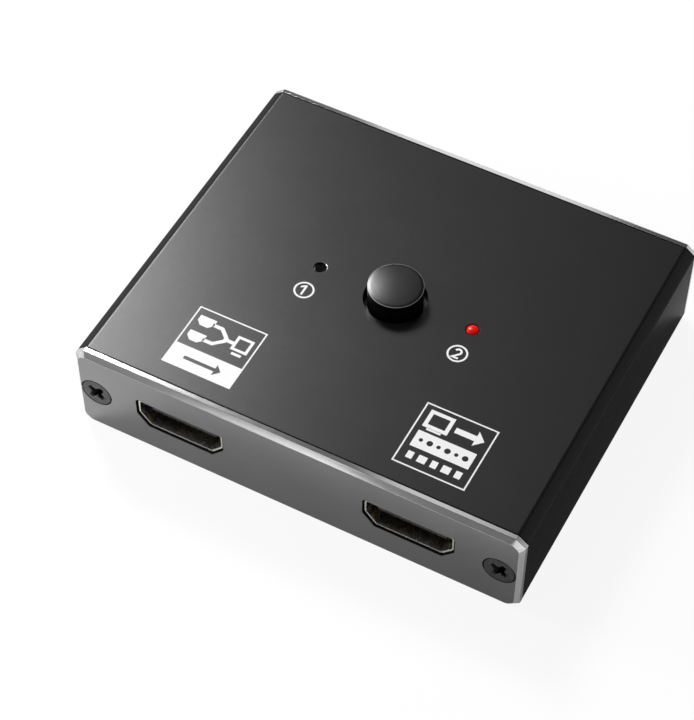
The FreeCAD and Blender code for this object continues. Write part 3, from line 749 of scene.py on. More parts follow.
def grow(piece, group, values):
    """Run a node group on a piece, with values by their sockets' names, and keep the result as its mesh."""
    modifier = piece.modifiers.new(group.name, "NODES")
    modifier.node_group = group
    for item in group.interface.items_tree:
        if item.in_out == "INPUT" and item.name in values:
            modifier[item.identifier] = values[item.name]
    bake(piece)


def new_group(name, *sockets):
    """A node group for geometry, with named inputs as pairs of a name and a socket type."""
    group = bpy.data.node_groups.new(name, "GeometryNodeTree")
    group.interface.new_socket(name="Geometry", in_out="OUTPUT", socket_type="NodeSocketGeometry")
    group.interface.new_socket(name="Geometry", in_out="INPUT", socket_type="NodeSocketGeometry")
    for label, kind in sockets:
        group.interface.new_socket(name=label, in_out="INPUT", socket_type="NodeSocket" + kind)
    tree = Tree(group)
    return group, tree, tree.node("NodeGroupInput")


def finish_group(tree, geometry, material):
    """End a node group: real geometry with its material."""
    real = tree.node("GeometryNodeRealizeInstances", None, {"Geometry": geometry})
    painted = tree.node("GeometryNodeSetMaterial", None, {"Geometry": real, "Material": material})
    tree.node("NodeGroupOutput", None, {"Geometry": painted})


def row_group():
    """Copies of a piece in a row along X, each turned a little about its own Y axis."""
    group, tree, given = new_group(
        "row_of_copies", ("Count", "Int"), ("Pitch", "Float"), ("Turn", "Float"), ("Turn Spread", "Float"),
        ("Seed", "Int"), ("Material", "Material"))
    pitch = given.pick("Pitch")
    start = (given.pick("Count") - 1) * pitch * -0.5
    line = tree.node("GeometryNodeMeshLine", {"mode": "OFFSET"}, {
        "Count": given.pick("Count"),
        "Start Location": tree.node("ShaderNodeCombineXYZ", None, {"X": start}),
        "Offset": tree.node("ShaderNodeCombineXYZ", None, {"X": pitch})})
    most = given.pick("Turn Spread")
    spread = tree.node("FunctionNodeRandomValue", {"data_type": "FLOAT"}, {
        2: most * -1, 3: most, "Seed": given.pick("Seed")}).pick(1)
    turned = tree.node("ShaderNodeCombineXYZ", None, {"Y": given.pick("Turn") + spread})
    copies = tree.node("GeometryNodeInstanceOnPoints", None, {
        "Points": line, "Instance": given.pick("Geometry"), "Rotation": turned})
    finish_group(tree, copies, given.pick("Material"))
    return group


def coil_group():
    """A wire wound along Z."""
    group, tree, given = new_group(
        "coil", ("Turns", "Float"), ("Radius", "Float"), ("Wire Radius", "Float"), ("Height", "Float"),
        ("Material", "Material"))
    path = tree.node("GeometryNodeCurveSpiral", None, {
        "Resolution": COIL_STEPS, "Rotations": given.pick("Turns"), "Start Radius": given.pick("Radius"),
        "End Radius": given.pick("Radius"), "Height": given.pick("Height")})
    section = tree.node("GeometryNodeCurvePrimitiveCircle", None, {
        "Resolution": WIRE_STEPS, "Radius": given.pick("Wire Radius")})
    wire = tree.node("GeometryNodeCurveToMesh", None, {
        "Curve": path, "Profile Curve": section, "Fill Caps": True})
    finish_group(tree, wire, given.pick("Material"))
    return group


def case_outline(case):
    """Outline of the end plates, seen along Y."""
    half, top = high("case_body").x, high("case_body").z
    flat, down = half - case.corner_across, case.corner_down
    return points_at((-flat, 0), (flat, 0), (half, down), (half, top - down),
                     (flat, top), (-flat, top), (-half, top - down), (-half, down))


def tube_outline(case):
    """Outline of the tube: that of the end plates, with a faint slope on both sides of the roof."""
    points = case_outline(case)
    drop, across = Vector((0, -case.shoulder_down)), Vector((case.shoulder, 0))
    right, left = points[4:6]
    points[4:6] = [right + drop, right - across, left + across, left + drop]
    return points


def screw_place(plate):
    """Distance of the screws from the middle, and their height."""
    return high("front_screws").x - plate.head_seat, middle("front_screws").z


def cavity_outline(case, plate):
    """Inside of the tube, seen along Y: ledges for the board and slotted screw bosses on both sides."""
    inner, board = high("case_body").x - case.wall, low("circuit_board").z
    shelf, tip = board - case.ledge_thickness, inner - case.ledge_width
    x, z = screw_place(plate)
    web = math.asin(case.boss_web / 2 / case.boss_radius)
    lip = math.pi - math.asin(case.boss_slot / 2 / case.boss_radius)
    mouth = math.pi - math.asin(case.boss_slot / 2 / plate.bore_radius)
    right = [
        *points_at((inner, case.wall), (inner, shelf), (tip, shelf), (tip, board), (inner, board),
                   (inner, z - case.boss_web / 2)),
        *arc_points(x, z, case.boss_radius, -web, -lip, BOSS_STEPS),
        *arc_points(x, z, plate.bore_radius, -mouth, mouth, CIRCLE_STEPS // 2),
        *arc_points(x, z, case.boss_radius, lip, web, BOSS_STEPS),
        *points_at((inner, z + case.boss_web / 2), (inner, high("case_body").z - case.wall)),
    ]
    return right + [Vector((-point.x, point.y)) for point in reversed(right)]


def opening_outline(socket, x, z, grow_by):
    """Outline of a socket's opening, wider at the top, let out on every side."""
    half, base, top = socket.opening_width / 2, socket.opening_base / 2, socket.opening_height / 2
    corner = top - socket.opening_side
    points = (-base, -top), (base, -top), (half, corner), (half, top), (-half, top), (-half, corner)
    return inset_points(points_at(*points, x=x, y=z), -grow_by)


class SWITCHBOX_OT_case(bpy.types.Operator):
    """Build the extruded tube with its ledges, screw bosses and roof holes"""
    bl_idname = "switch_box.case"
    bl_label = "Build case"

    def execute(self, context):
        box = context.scene.switch_box
        case = box.case
        outside = rounded_points(tube_outline(case), case.corner_round, EDGE_STEPS)
        form = bmesh.new()
        prism(form, [outside, cavity_outline(case, box.plate)], "Y", *ends("case_body", 1))
        piece = new_piece(
            "case_tube", form, anodised_finish("black_anodised_tube", box.finish.anodised),
            # Painted glint: this bright bevel finish goes on the left lamp's hole only.
            cut_finish("lamp_hole_bevel", box.finish.rim, roughness=0.25, stretch=(1, 1, 1)),
            anodised_finish("dull_hole_wall", box.finish.anodised, roughness=0.7))
        self.holes(piece, case)
        settle(piece, "root", "case_body")
        return {"FINISHED"}

    def holes(self, piece, case):
        """Bore the roof, with a bright bevel at the left lamp alone, which is a painted glint, and a dull
        wall round the button.
        """
        roof = high("case_body").z
        above, below = roof + case.wall, roof - 2 * case.wall
        button = middle("push_button")
        lamps = [middle("light_guide_" + number) for number in "12"]
        sunk = case.lamp_hole + case.lamp_sink
        form = bmesh.new()
        prism(form, [circle_points(button.x, button.y, case.button_hole, LATHE_STEPS)], "Z", below, above)
        for lamp in lamps:
            lathe(form, [(0, above), (sunk, above), (sunk, roof), (case.lamp_hole, roof - case.lamp_sink),
                         (case.lamp_hole, below), (0, below)], lamp)
        cut(piece, form)
        soften(piece, case.edge)
        for face in piece.data.polygons:
            spot = face.center
            if not below < spot.z < roof - MERGE:
                continue
            # Painted glint: only the left lamp's bevel gets the bright cut finish, and the right lamp's like
            # bevel keeps the tube's black.
            if (spot - lamps[0]).xy.length < sunk + case.edge:
                face.material_index = int(spot.z > roof - case.lamp_sink - case.edge)
            elif (spot - button).xy.length < case.button_hole + case.edge / 2:
                face.material_index = 2


class SWITCHBOX_OT_plates(bpy.types.Operator):
    """Build the two end plates with their bright cut bevels, countersinks and socket cut-outs"""
    bl_idname = "switch_box.plates"
    bl_label = "Build end plates"

    def execute(self, context):
        box = context.scene.switch_box
        colours = box.finish
        finishes = (
            plate_finish("satin_plate_face", colours.plate),
            cut_finish("bright_cut_bevel", colours.cut),
            anodised_finish("black_hole_wall", colours.anodised),
            # Painted shade: a darker copy of the bright cut finish for the cut edges at the left end.
            cut_finish("left_cut_bevel", colours.painted_shade_cut),
        )
        for node, way in (("front_plate", 1), ("rear_plate", -1)):
            piece = new_piece(node.replace("plate", "end_plate"), self.plate(box, node, way), *finishes)
            soften(piece, box.plate.soften)
            settle(piece, "root", node)
        return {"FINISHED"}

    def plate(self, box, node, way):
        """The form of an end plate: its edge, its cut-outs and its screw holes."""
        plate = box.plate
        outer, joint = ends(node, way)
        step, shoulder = joint - way * plate.groove, joint - way * plate.edge
        nose = plate.slope + abs(outer - shoulder)
        outline = case_outline(box.case)
        form = bmesh.new()
        edge = [
            ring(form, rounded_points(inset_points(outline, inset), corner, EDGE_STEPS), facing("Y", at))
            for inset, corner, at in (
                (plate.groove_depth, plate.corner_round, joint),
                (plate.groove_depth, plate.corner_round, step),
                (0, plate.corner_round, step),
                (plate.slope, plate.corner_round, shoulder),
                (nose, plate.face_round, outer))]
        walls(form, *edge)
        pairs = [(edge[0], edge[-1])]
        for name in SOCKETS:
            if SOCKETS[name] == way:
                hole = opening_outline(box.socket, middle(name + "_shell").x, middle(name + "_insulator").z,
                                       box.socket.shell_wall + plate.cutout_gap)
                hole = rounded_points(hole, 2 * plate.cutout_gap)
                pairs.append(tunnel(form, hole, facing("Y", joint), facing("Y", outer)))
        x, z = screw_place(plate)
        for side in (-x, x):
            pairs.append([ring(form, circle_points(side, z, radius), facing("Y", at))
                          for radius, at in ((plate.bore_radius, joint), (plate.sink_radius, outer))])
            walls(form, *pairs[-1])
        for loops in zip(*pairs):
            fill(form, *loops)
        self.paint(form, outline, step, outer)
        return form

    def paint(self, form, outline, step, outer):
        """Give the cut edges their finishes, with painted shade that makes them duller at the left end, and
        the holes' walls the dark one.
        """
        up = max(point.y for point in outline)
        inner = inset_points(outline, abs(outer - step))
        reach, top = max(point.x for point in inner), max(point.y for point in inner)
        for face in form.faces:
            spot = face.calc_center_median()
            if not abs(step) + MERGE < abs(spot.y) < abs(outer) - MERGE:
                continue
            # Painted shade: the cut edges at the left end take the duller copy of the cut finish.
            if spot.x < -reach:
                face.material_index = 3
            elif spot.x > reach or spot.z > top or spot.z < up - top:
                face.material_index = 1
            else:
                face.material_index = 2


class SWITCHBOX_OT_screws(bpy.types.Operator):
    """Build the countersunk cross-head screws as rows of copies"""
    bl_idname = "switch_box.screws"
    bl_label = "Build screws"

    def execute(self, context):
        box = context.scene.switch_box
        plate = box.plate
        finish = screw_finish("black_oxide_screw", box.finish.screw, high("rear_screws").y)
        group = row_group()
        x, z = screw_place(plate)
        for node, way, seed in (("front_screws", 1, 3), ("rear_screws", -1, 8)):
            piece = new_piece(node.replace("screws", "screw_pair"), self.screw(plate, way), finish)
            soften(piece, plate.soften)
            grow(piece, group, {"Count": 2, "Pitch": 2 * x, "Turn": plate.screw_turn,
                                "Turn Spread": plate.screw_spread, "Seed": seed, "Material": finish})
            piece.data.transform(Matrix.Translation((0, ends(node, way)[0], z)))
            settle(piece, "root", node)
        return {"FINISHED"}

    def screw(self, plate, way):
        """The form of a screw, with its head's face at the origin."""
        reach = high("front_screws").y - low("front_screws").y
        form = bmesh.new()
        rings = [ring(form, circle_points(0, 0, radius), facing("Y", way * depth)) for radius, depth in (
            (plate.head_radius, 0), (plate.head_radius, plate.head_rim),
            (plate.shank_radius, plate.head_height), (plate.shank_radius, reach))]
        walls(form, *rings)
        fill(form, rings[-1])
        cross = self.cross_points(plate)
        mouth = ring(form, cross, facing("Y", 0))
        cross = [point * plate.cross_floor for point in cross]
        floor = ring(form, cross, facing("Y", way * plate.cross_depth))
        walls(form, mouth, floor)
        fill(form, floor)
        fill(form, rings[0], mouth)
        return form

    def cross_points(self, plate):
        """Outline of the cross recess, with rounded arms and corners."""
        arm, half = plate.cross_length / 2, plate.cross_width / 2
        corner = points_at((arm, -half), (arm, half), (half * 1.35, half * 1.35))
        turns = [Matrix.Rotation(quarter * math.pi / 2, 2) for quarter in range(4)]
        return rounded_points([turn @ point for turn in turns for point in corner], half * 0.55, 3)


class SWITCHBOX_OT_sockets(bpy.types.Operator):
    """Build the sockets' folded shells and their contacts"""
    bl_idname = "switch_box.sockets"
    bl_label = "Build sockets"

    def execute(self, context):
        box = context.scene.switch_box
        nickel = metal_finish("nickel_shell_sheet", box.finish.nickel, roughness=0.26)
        gold = metal_finish("gold_contact", box.finish.gold, roughness=0.22, lump=0.5)
        group = row_group()
        for name, way in SOCKETS.items():
            self.shell(box.socket, name, way, nickel)
            self.contacts(box.socket, name, way, gold, group)
        return {"FINISHED"}

    def shell(self, socket, name, way, nickel):
        """A folded shell with a rounded mouth, two bent spring fingers and four solder legs."""
        node = name + "_shell"
        mouth, rear = ends(node, way)
        x, roof, sheet = middle(node).x, high(node).z, socket.shell_wall
        z = roof - sheet - socket.opening_height / 2
        form = bmesh.new()
        prism(form, [rounded_points(opening_outline(socket, x, z, sheet), socket.corner_round),
                     rounded_points(opening_outline(socket, x, z, 0), socket.corner_round - sheet)],
              "Y", mouth, rear)
        piece = new_piece(name + "_folded_shell", form, nickel)
        windows, extras = bmesh.new(), bmesh.new()
        half = socket.finger_width / 2 + socket.finger_slit
        start = mouth + way * socket.finger_start
        end = start + way * socket.finger_length
        for across in (x - socket.finger_pitch / 2, x + socket.finger_pitch / 2):
            window = rectangle_points(across - half, across + half, min(start, end), max(start, end))
            prism(windows, [window], "Z", roof - 2 * sheet, roof + sheet)
            self.finger(extras, socket, across, start + way * socket.finger_slit, end, roof)
        cut(piece, windows)
        self.legs(extras, socket, node, mouth, way)
        soften(piece, socket.lip / 2)
        self.join(piece, extras)
        settle(piece, "root", node)

    def finger(self, form, socket, x, free, root, roof):
        """A spring finger that dips into the opening and turns up at its free end."""
        half, sheet, steps = socket.finger_width / 2, socket.shell_wall, 12
        sections = []
        for step in range(steps + 1):
            along = step / steps
            y = root + (free - root) * along
            top = roof - socket.finger_dip * math.sin(math.pi * along ** 1.5)
            left, right, under = x - half, x + half, top - sheet
            sections.append([(left, y, top), (right, y, top), (right, y, under), (left, y, under)])
        bar(form, sections)

    def legs(self, form, socket, node, mouth, way):
        """Four solder legs, folded down from the sides."""
        side, foot = middle(node).z, low(node).z
        taper = foot + socket.leg_width / 3
        for outer in (low(node).x, high(node).x):
            inner = outer + math.copysign(socket.shell_wall, middle(node).x - outer)
            for start in (socket.leg_first, socket.leg_second):
                near = mouth + way * start
                far = near + way * socket.leg_width
                corners = (near, side), (far, side), (far, taper), ((near + far) / 2, foot), (near, taper)
                prism(form, [points_at(*corners)], "X", inner, outer)

    def join(self, piece, form):
        """Add a form's solids to a piece."""
        extra = new_piece(piece.name + "_extra", form, piece.data.materials[0])
        merged = bmesh.new()
        merged.from_mesh(piece.data)
        merged.from_mesh(extra.data)
        merged.to_mesh(piece.data)
        merged.free()
        bpy.data.objects.remove(extra)

    def contacts(self, socket, name, way, gold, group):
        """Two staggered rows of bent contacts, the lower one mirrored about the tongue's middle."""
        node = name + "_contacts"
        upper = high(node).z
        rows = (
            ("upper", socket.upper_contacts, upper - socket.contact_thickness),
            ("lower", socket.lower_contacts, 2 * middle(name + "_insulator").z - upper))
        both = bmesh.new()
        for label, number, level in rows:
            strip = new_piece("%s_%s_row" % (name, label), self.strip(socket, node, way, level), gold)
            grow(strip, group, {"Count": number, "Pitch": socket.contact_pitch, "Material": gold})
            both.from_mesh(strip.data)
            bpy.data.objects.remove(strip)
        bmesh.ops.translate(both, verts=both.verts, vec=(middle(node).x, 0, 0))
        settle(new_piece(name + "_contact_rows", both, gold), "root", node)

    def strip(self, socket, node, way, level):
        """The form of a contact: along the tongue, down behind the block and out into a foot."""
        tip, heel = ends(node, way)
        thick, half = socket.contact_thickness, socket.contact_width / 2
        top, foot = level + thick / 2, low(node).z + thick / 2
        back = heel - way * socket.contact_foot + way * thick / 2
        corners = points_at((tip, top), (back, top), (back, foot), (heel, foot))
        path = self.bent(corners, socket.contact_bend - thick / 2)
        sections = []
        for before, point, after in zip(path[:1] + path, path, path[1:] + path[-1:]):
            along = (after - before).normalized()
            out = Vector((-along.y, along.x)) * thick / 2
            upper, lower = point + out, point - out
            sections.append([(-half, *upper), (half, *upper), (half, *lower), (-half, *lower)])
        form = bmesh.new()
        bar(form, sections)
        return form

    def bent(self, corners, radius, steps=FOLD_STEPS):
        """A path whose inner corners are arcs."""
        path = [corners[0]]
        for before, corner, after in zip(corners, corners[1:], corners[2:]):
            back = (before - corner).normalized() * radius
            ahead = (after - corner).normalized() * radius
            for step in range(steps + 1):
                turn = step / steps * math.pi / 2
                path.append(corner + back + ahead - ahead * math.cos(turn) - back * math.sin(turn))
        return path + [corners[-1]]


class SWITCHBOX_OT_button(bpy.types.Operator):
    """Build the turned push button"""
    bl_idname = "switch_box.button"
    bl_label = "Build button"

    def execute(self, context):
        box = context.scene.switch_box
        button = box.button
        centre = middle("push_button")
        top, bottom = high("push_button").z, low("push_button").z
        flange, ledge = high("push_button").x - centre.x, bottom + button.boss_below
        flat, shoulder = button.radius - button.rim, top - button.crown
        hollow, ceiling = button.radius - button.wall, top - button.roof
        parts = [step / DOME_STEPS for step in range(DOME_STEPS + 1)]
        profile = [(flat * part, top - button.crown * part ** 2) for part in parts] + [
            (button.radius - button.rim * 0.1, shoulder - button.rim * 0.35),
            (button.radius, shoulder - button.rim),
            (button.radius, ledge + button.flange_thickness),
            (flange, ledge + button.flange_thickness),
            (flange, ledge), (hollow, ledge), (hollow, ceiling),
            (button.boss_radius, ceiling), (button.boss_radius, bottom), (0, bottom),
        ]
        form = bmesh.new()
        lathe(form, profile, centre)
        for face in form.faces:
            spot = face.calc_center_median()
            face.material_index = int(flat < (spot - centre).xy.length and spot.z > shoulder - button.rim)
        piece = new_piece(
            "button_cap", form, button_finish("black_turned_button", box.finish.turned),
            cut_finish("turned_rim", box.finish.rim, roughness=0.6, stretch=(1, 1, 1)))
        bore = bmesh.new()
        side = button.stem_side / 2
        square = rectangle_points(centre.x - side, centre.x + side, centre.y - side, centre.y + side)
        prism(bore, [square], "Z", bottom - button.wall, high("switch_plunger").z)
        cut(piece, bore)
        settle(piece, "button", "push_button")
        return {"FINISHED"}


class SWITCHBOX_OT_windows(bpy.types.Operator):
    """Build the two light guides with their domed tips"""
    bl_idname = "switch_box.windows"
    bl_label = "Build lamp windows"

    def execute(self, context):
        box = context.scene.switch_box
        colours = box.finish
        finishes = {
            # Painted shade: the unlit guide's tip is made near black to stand in for the dark of its hole.
            "light_guide_1": window_finish("unlit_window", colours.unlit, glow=0, gloss=0.08, roughness=0.1),
            "light_guide_2": window_finish("lit_window", colours.lit, glow=0.22, gloss=0.2, roughness=0.2),
        }
        for node, finish in finishes.items():
            form = bmesh.new()
            lathe(form, self.profile(box, node), middle(node), CIRCLE_STEPS)
            settle(new_piece(node.replace("guide", "window"), form, finish), "root", node)
        return {"FINISHED"}

    def profile(self, box, node, steps=10):
        """Radii and heights of a light guide, from its domed tip down."""
        button, roof = box.button, high("case_body").z
        lit = node == "light_guide_2"
        dome = button.window_dome if lit else button.window_crown
        tip = high(node).z + dome / 2 if lit else roof - button.window_sink
        radius, collar = button.window_radius, high(node).x - middle(node).x
        top = roof - box.case.wall
        bottom = top - button.collar_height
        turns = [math.pi / 2 * step / steps for step in range(1, steps + 1)]
        return [
            (0, tip), *((radius * math.sin(turn), tip - dome * (1 - math.cos(turn))) for turn in turns),
            (radius, top), (collar, top), (collar, bottom), (radius, bottom),
            (radius, low(node).z), (0, low(node).z),
        ]


class SWITCHBOX_OT_print(bpy.types.Operator):
    """Build the white print on the roof: two ringed numbers and two plain diagrams"""
    bl_idname = "switch_box.ink"
    bl_label = "Build print"

    def execute(self, context):
        box = context.scene.switch_box
        ink = box.ink
        finish = ink_finish("white_ink", box.finish.ink)
        for number, figure in (("1", self.figure_one(ink)), ("2", self.figure_two(ink))):
            lamp = middle("light_guide_" + number)
            centre = Vector((lamp.x, lamp.y - ink.ring_ahead))
            radii = ink.ring_radius, ink.ring_radius - ink.ring_line
            rings = [circle_points(0, 0, radius, RING_STEPS) for radius in radii]
            self.shapes("number_ring_" + number, ink, finish, [rings], centre)
            self.shapes("number_" + number, ink, finish, [[figure]], centre)
        side = ink.block_side
        line, edge = ink.stroke / side, ink.block_line / side
        for name, across, shapes in (("routing_print", -ink.routing_across, self.routing(line, edge)),
                                     ("screen_print", ink.screen_across, self.screen(line, edge))):
            corner = Vector((across - side / 2, -ink.block_ahead - side / 2))
            self.shapes(name, ink, finish, shapes, corner, side)
        return {"FINISHED"}

    def shapes(self, name, ink, finish, shapes, place, scale=1.0):
        """A print made of flat shapes, each an outline followed by its holes."""
        roof = high("case_body").z
        form = bmesh.new()
        for outlines in shapes:
            outlines = [[place + point * scale for point in points] for points in outlines]
            prism(form, outlines, "Z", roof - ink.thickness / 2, roof + ink.thickness)
        settle(new_piece(name, form, finish), "root")

    def ribbon(self, path, width):
        """Outline of a line of even width along a path, with square ends."""
        right, left = [], []
        for index, point in enumerate(path):
            before = (point - path[index - 1]).normalized() if index else None
            after = (path[index + 1] - point).normalized() if index + 1 < len(path) else None
            along = ((before or after) + (after or before)).normalized()
            side = Vector((-along.y, along.x)) * width / 2 / along.dot(after or before)
            right.append(point - side)
            left.append(point + side)
        return right + left[::-1]

    def figure_one(self, ink):
        """Outline of the figure 1 about its middle."""
        half, top, flag = ink.digit_line / 2, ink.digit_height / 2, ink.digit_height * 0.38
        tip = top - flag * 0.55
        return points_at((-half, -top), (half, -top), (half, top), (-half * 0.6, top),
                         (-flag, tip), (-flag, tip - 2.2 * half), (-half, top - 2.6 * half))

    def figure_two(self, ink):
        """Outline of the figure 2 about its middle."""
        half = (ink.digit_height - ink.digit_line) / 2
        bowl = half * 0.58
        curve = arc_points(0, half - bowl, bowl, math.radians(165), math.radians(-38), 14)
        return self.ribbon(curve + points_at((-bowl, -half), (bowl, -half)), ink.digit_line)

    def screen_shape(self, x, y, width, height, line):
        """A screen with a frame: its outline and the hole in it."""
        return [rectangle_points(x - width / 2 + inset, x + width / 2 - inset,
                                 y - height / 2 + inset, y + height / 2 - inset) for inset in (0, line)]

    def socket_shape(self, x, y, width, height):
        """The face of a video socket: a wide outline that narrows below."""
        half, foot = width / 2, width / 2 - height * 0.42
        bottom, waist, top = -height / 2, -height * 0.08, height / 2
        corners = (-foot, bottom), (foot, bottom), (half, waist), (half, top), (-half, top), (-half, waist)
        return points_at(*corners, x=x, y=y)

    def arrow_shape(self, x, y, reach, head, line):
        """An arrow to the right."""
        neck, half = reach - head, line / 2
        corners = ((-reach, -half), (neck, -half), (neck, -head), (reach, 0), (neck, head), (neck, half),
                   (-reach, half))
        return points_at(*corners, x=x, y=y)

    def routing(self, line, edge):
        """Two socket faces joined to one screen, over a solid band along the front that shows an arrow.

        These measures, and those of the other diagram, are shares of the printed square's side.
        """
        levels = 0.53, 0.80
        start, bend, joint, height = 0.30, 0.44, 0.56, sum(levels) / 2
        branches = points_at((start, levels[0]), (bend, levels[0]), (joint, height - line / 2),
                             (joint, height + line / 2), (bend, levels[1]), (start, levels[1]))
        return [
            [rectangle_points(0, 1, 0, 1), rectangle_points(edge, 1 - edge, 0.352, 1 - edge),
             self.arrow_shape(0.5, 0.176, 0.27, 0.09, line)],
            *([self.socket_shape(0.20, level, 0.24, 0.155)] for level in levels),
            [self.ribbon(branches, line)],
            [rectangle_points(joint + line / 2, 0.68, height - line / 2, height + line / 2)],
            self.screen_shape(0.80, height + 0.02, 0.24, 0.24, line * 0.75),
            [rectangle_points(0.73, 0.87, height - 0.17, height - 0.13)],
        ]

    def screen(self, line, edge):
        """A screen and an arrow, over a solid band that shows pairs of dots, over a row of small squares."""
        dots = [circle_points(0.19 + 0.122 * step, 0.435, 0.042 if step % 2 else 0.028, CIRCLE_STEPS // 2)
                for step in range(6)]
        shapes = [
            self.screen_shape(0.5, 0.5, 1, 1, edge),
            self.screen_shape(0.27, 0.78, 0.34, 0.28, line),
            [rectangle_points(0.17, 0.37, 0.605, 0.635)],
            [self.arrow_shape(0.70, 0.77, 0.20, 0.12, line * 1.6)],
            [rectangle_points(0.095, 0.90, 0.305, 0.565), *dots],
        ]
        for step in range(5):
            x, half = 0.17 + 0.165 * step, 0.0575 if step % 2 else 0.0425
            shapes.append([rectangle_points(x - half, x + half, 0.12, 0.23)])
        return shapes


class SWITCHBOX_OT_inside(bpy.types.Operator):
    """Give the carried-over pieces inside their finishes, and wind the return spring"""
    bl_idname = "switch_box.inside"
    bl_label = "Finish inside"

    def execute(self, context):
        box = context.scene.switch_box
        colours = box.finish
        moulding = moulded_finish("black_moulding", colours.moulding)
        finishes = {
            "circuit_board": laminate_finish("green_laminate", colours.laminate),
            "switch_housing": moulding, "switch_base": moulding,
            "switch_pins": metal_finish("tinned_pin", (0.72, 0.72, 0.71), roughness=0.3),
            "switch_plunger": moulded_finish("white_moulding", (0.78, 0.78, 0.76), roughness=0.4),
            "switch_contact_plate": metal_finish("gold_bridge", colours.gold, roughness=0.25, lump=0.6),
            "indicator_lamps": moulded_finish("lamp_resin_body", (0.80, 0.76, 0.60), roughness=0.2),
            "switching_chip": moulded_finish("chip_epoxy", (0.028, 0.028, 0.030), roughness=0.5),
            "resistors": moulded_finish("resistor_body", (0.03, 0.03, 0.035), roughness=0.4),
            "capacitors": moulded_finish("fired_ceramic", (0.45, 0.30, 0.17), roughness=0.5),
            "surge_arrays": moulded_finish("array_epoxy", (0.035, 0.035, 0.035), roughness=0.5),
            **{name + "_insulator": moulding for name in SOCKETS},
        }
        for node, finish in finishes.items():
            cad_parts[node].data.materials.clear()
            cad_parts[node].data.materials.append(finish)
        steel = metal_finish("drawn_spring_wire", (0.58, 0.58, 0.57), roughness=0.28, lump=0.4)
        self.spring(box.button, steel)
        return {"FINISHED"}

    def spring(self, button, steel):
        """The return spring, wound in the place of its construction node."""
        node = "switch_spring"
        wire = button.spring_wire
        floor = low(node).z
        height = high(node).z - floor
        centre = middle("push_button")
        piece = new_piece("return_spring", bmesh.new(), steel)
        grow(piece, coil_group(), {
            "Turns": button.spring_turns, "Radius": high(node).x - centre.x - wire, "Wire Radius": wire,
            "Height": height - 2 * wire, "Material": steel})
        piece.data.transform(Matrix.Translation((centre.x, centre.y, floor + wire)))
        for face in piece.data.polygons:
            face.use_smooth = True
        piece.data.set_sharp_from_angle(angle=WIRE_SHARP)
        settle(piece, "root", node)
        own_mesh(piece)


# Each lamp's name, azimuth and elevation in degrees, distance, width and height in metres, and radiance
SOFTBOXES = (
    ("key_softbox", 231.2, 46.0, 1.5, 0.39, 0.39, 50),
    ("back_strip", 199.1, 50.0, 1.5, 0.26, 0.85, 0.9),
    ("front_softbox", -19.6, 36.0, 1.1, 0.134, 0.25, 2.2),
    ("left_softbox", -75, 25, 0.22, 0.08, 0.08, 20),
)


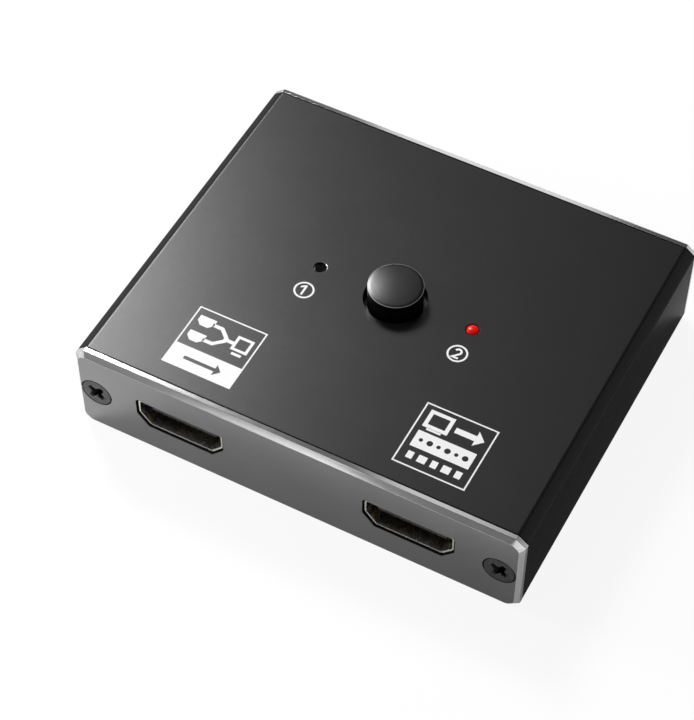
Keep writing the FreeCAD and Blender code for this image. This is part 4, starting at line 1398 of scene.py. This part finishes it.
class SWITCHBOX_OT_stage(bpy.types.Operator):
    """Build the pale floor, the studio lights and the camera"""
    bl_idname = "switch_box.stage"
    bl_label = "Build stage"

    def execute(self, context):
        stage = context.scene.switch_box.stage
        context.scene.view_settings.view_transform = "Standard"
        self.floor(stage)
        self.room(context, stage)
        aim = Vector((stage.aim_x, stage.aim_y, 0))
        for name, azimuth, elevation, distance, width, height, radiance in SOFTBOXES:
            lamp = bpy.data.lights.new(name, "AREA")
            lamp.shape = "RECTANGLE"
            lamp.size, lamp.size_y = width, height
            lamp.energy = radiance * math.pi * width * height
            self.point(lamp, aim, math.radians(azimuth), math.radians(elevation), distance)
        self.camera(context, stage, aim)
        return {"FINISHED"}

    def pale_rays(self, tree, gloss=1.0):
        """1 for rays from the camera, and this share for those seen in gloss or through glass."""
        path = tree.node("ShaderNodeLightPath")
        seen = path + (path.pick("Is Glossy Ray") + path.pick("Is Transmission Ray")) * gloss
        return seen.clear()

    def floor(self, stage):
        """A pale floor that keeps the box's shadow."""
        half = stage.floor_size / 2
        form = bmesh.new()
        form.faces.new(ring(form, rectangle_points(-half, half, -half, half), facing("Z", 0)))
        finish = Finish("pale_floor")
        plain = finish.node("ShaderNodeBsdfDiffuse", None, {"Color": rgba(stage.floor_colour)})
        glow = finish.node("ShaderNodeEmission", None, {"Color": (1, 1, 1, 1), "Strength": 1.0})
        both = finish.node("ShaderNodeMixShader", None, {
            0: self.pale_rays(finish, stage.floor_gloss) * stage.floor_glow, 1: plain, 2: glow})
        finish.node("ShaderNodeOutputMaterial", None, {"Surface": both})
        new_piece("floor", form, finish.material)

    def room(self, context, stage):
        """White round the horizon and dimmer overhead where the background shows, and a plain fill."""
        world = bpy.data.worlds.new("studio")
        context.scene.world = world
        world.use_nodes = True
        world.node_tree.nodes.clear()
        tree = Tree(world.node_tree)
        up = tree.node("ShaderNodeSeparateXYZ", None, {"Vector": tree.node("ShaderNodeTexCoord")}).pick("Z")
        dim = tree.ramp(up, (0.10, 1.0), (0.5, stage.upper_wall), (0.7, stage.ceiling), (1.0, stage.ceiling))
        shown = tree.node("ShaderNodeBackground", None, {"Color": dim, "Strength": 1.0})
        light = tree.node("ShaderNodeBackground", None, {"Color": (1, 1, 1, 1), "Strength": stage.fill})
        both = tree.node("ShaderNodeMixShader", None, {0: self.pale_rays(tree), 1: light, 2: shown})
        tree.node("ShaderNodeOutputWorld", None, {"Surface": both})

    def point(self, data, aim, azimuth, elevation, distance):
        """Put a lamp or the camera round the aim point, counted from -Y towards +X, and facing it."""
        away = Vector((math.sin(azimuth) * math.cos(elevation), -math.cos(azimuth) * math.cos(elevation),
                       math.sin(elevation)))
        holder = bpy.data.objects.new(data.name, data)
        holder.location = aim + away * distance
        holder.rotation_mode = "QUATERNION"
        holder.rotation_quaternion = (-away).to_track_quat("-Z", "Y")
        bpy.context.scene.collection.objects.link(holder)
        return holder

    def camera(self, context, stage, aim):
        """The camera at the photograph's place."""
        view = bpy.data.cameras.new("camera")
        view.lens = stage.lens
        view.sensor_width = SENSOR
        view.clip_start, view.clip_end = NEAREST, FARTHEST
        context.scene.camera = self.point(view, aim, stage.azimuth, stage.elevation, stage.distance)


OPERATORS = (
    SWITCHBOX_OT_case, SWITCHBOX_OT_plates, SWITCHBOX_OT_screws, SWITCHBOX_OT_sockets, SWITCHBOX_OT_button,
    SWITCHBOX_OT_windows, SWITCHBOX_OT_print, SWITCHBOX_OT_inside, SWITCHBOX_OT_stage,
)


class SWITCHBOX_PT_panel(bpy.types.Panel):
    """The switch box's pieces and settings"""
    bl_label = "Switch Box"
    bl_space_type = "VIEW_3D"
    bl_region_type = "UI"
    bl_category = "Switch Box"

    def draw(self, context):
        box = context.scene.switch_box
        for operator in OPERATORS:
            self.layout.operator(operator.bl_idname)
        for name in SwitchBoxSettings.__annotations__:
            group = getattr(box, name)
            column = self.layout.column()
            column.label(text=name.capitalize())
            for setting in group.__annotations__:
                column.prop(group, setting)


CLASSES = (
    CaseSizes, PlateSizes, SocketSizes, ButtonSizes, PrintSizes, Finishes, StageSettings, SwitchBoxSettings,
) + OPERATORS + (SWITCHBOX_PT_panel,)


def register():
    """Add the classes and the scene's settings."""
    for item in CLASSES:
        bpy.utils.register_class(item)
    bpy.types.Scene.switch_box = nested(SwitchBoxSettings, "Switch box", "Settings of the switch box")


def unregister():
    """Take the settings and the classes away."""
    del bpy.types.Scene.switch_box
    for item in reversed(CLASSES):
        bpy.utils.unregister_class(item)


def main():
    """Build the whole box and its stage."""
    register()
    bpy.ops.switch_box.case()
    bpy.ops.switch_box.plates()
    bpy.ops.switch_box.screws()
    bpy.ops.switch_box.sockets()
    bpy.ops.switch_box.button()
    bpy.ops.switch_box.windows()
    bpy.ops.switch_box.ink()
    bpy.ops.switch_box.inside()
    bpy.ops.switch_box.stage()


if __name__ == "__main__":
    main()
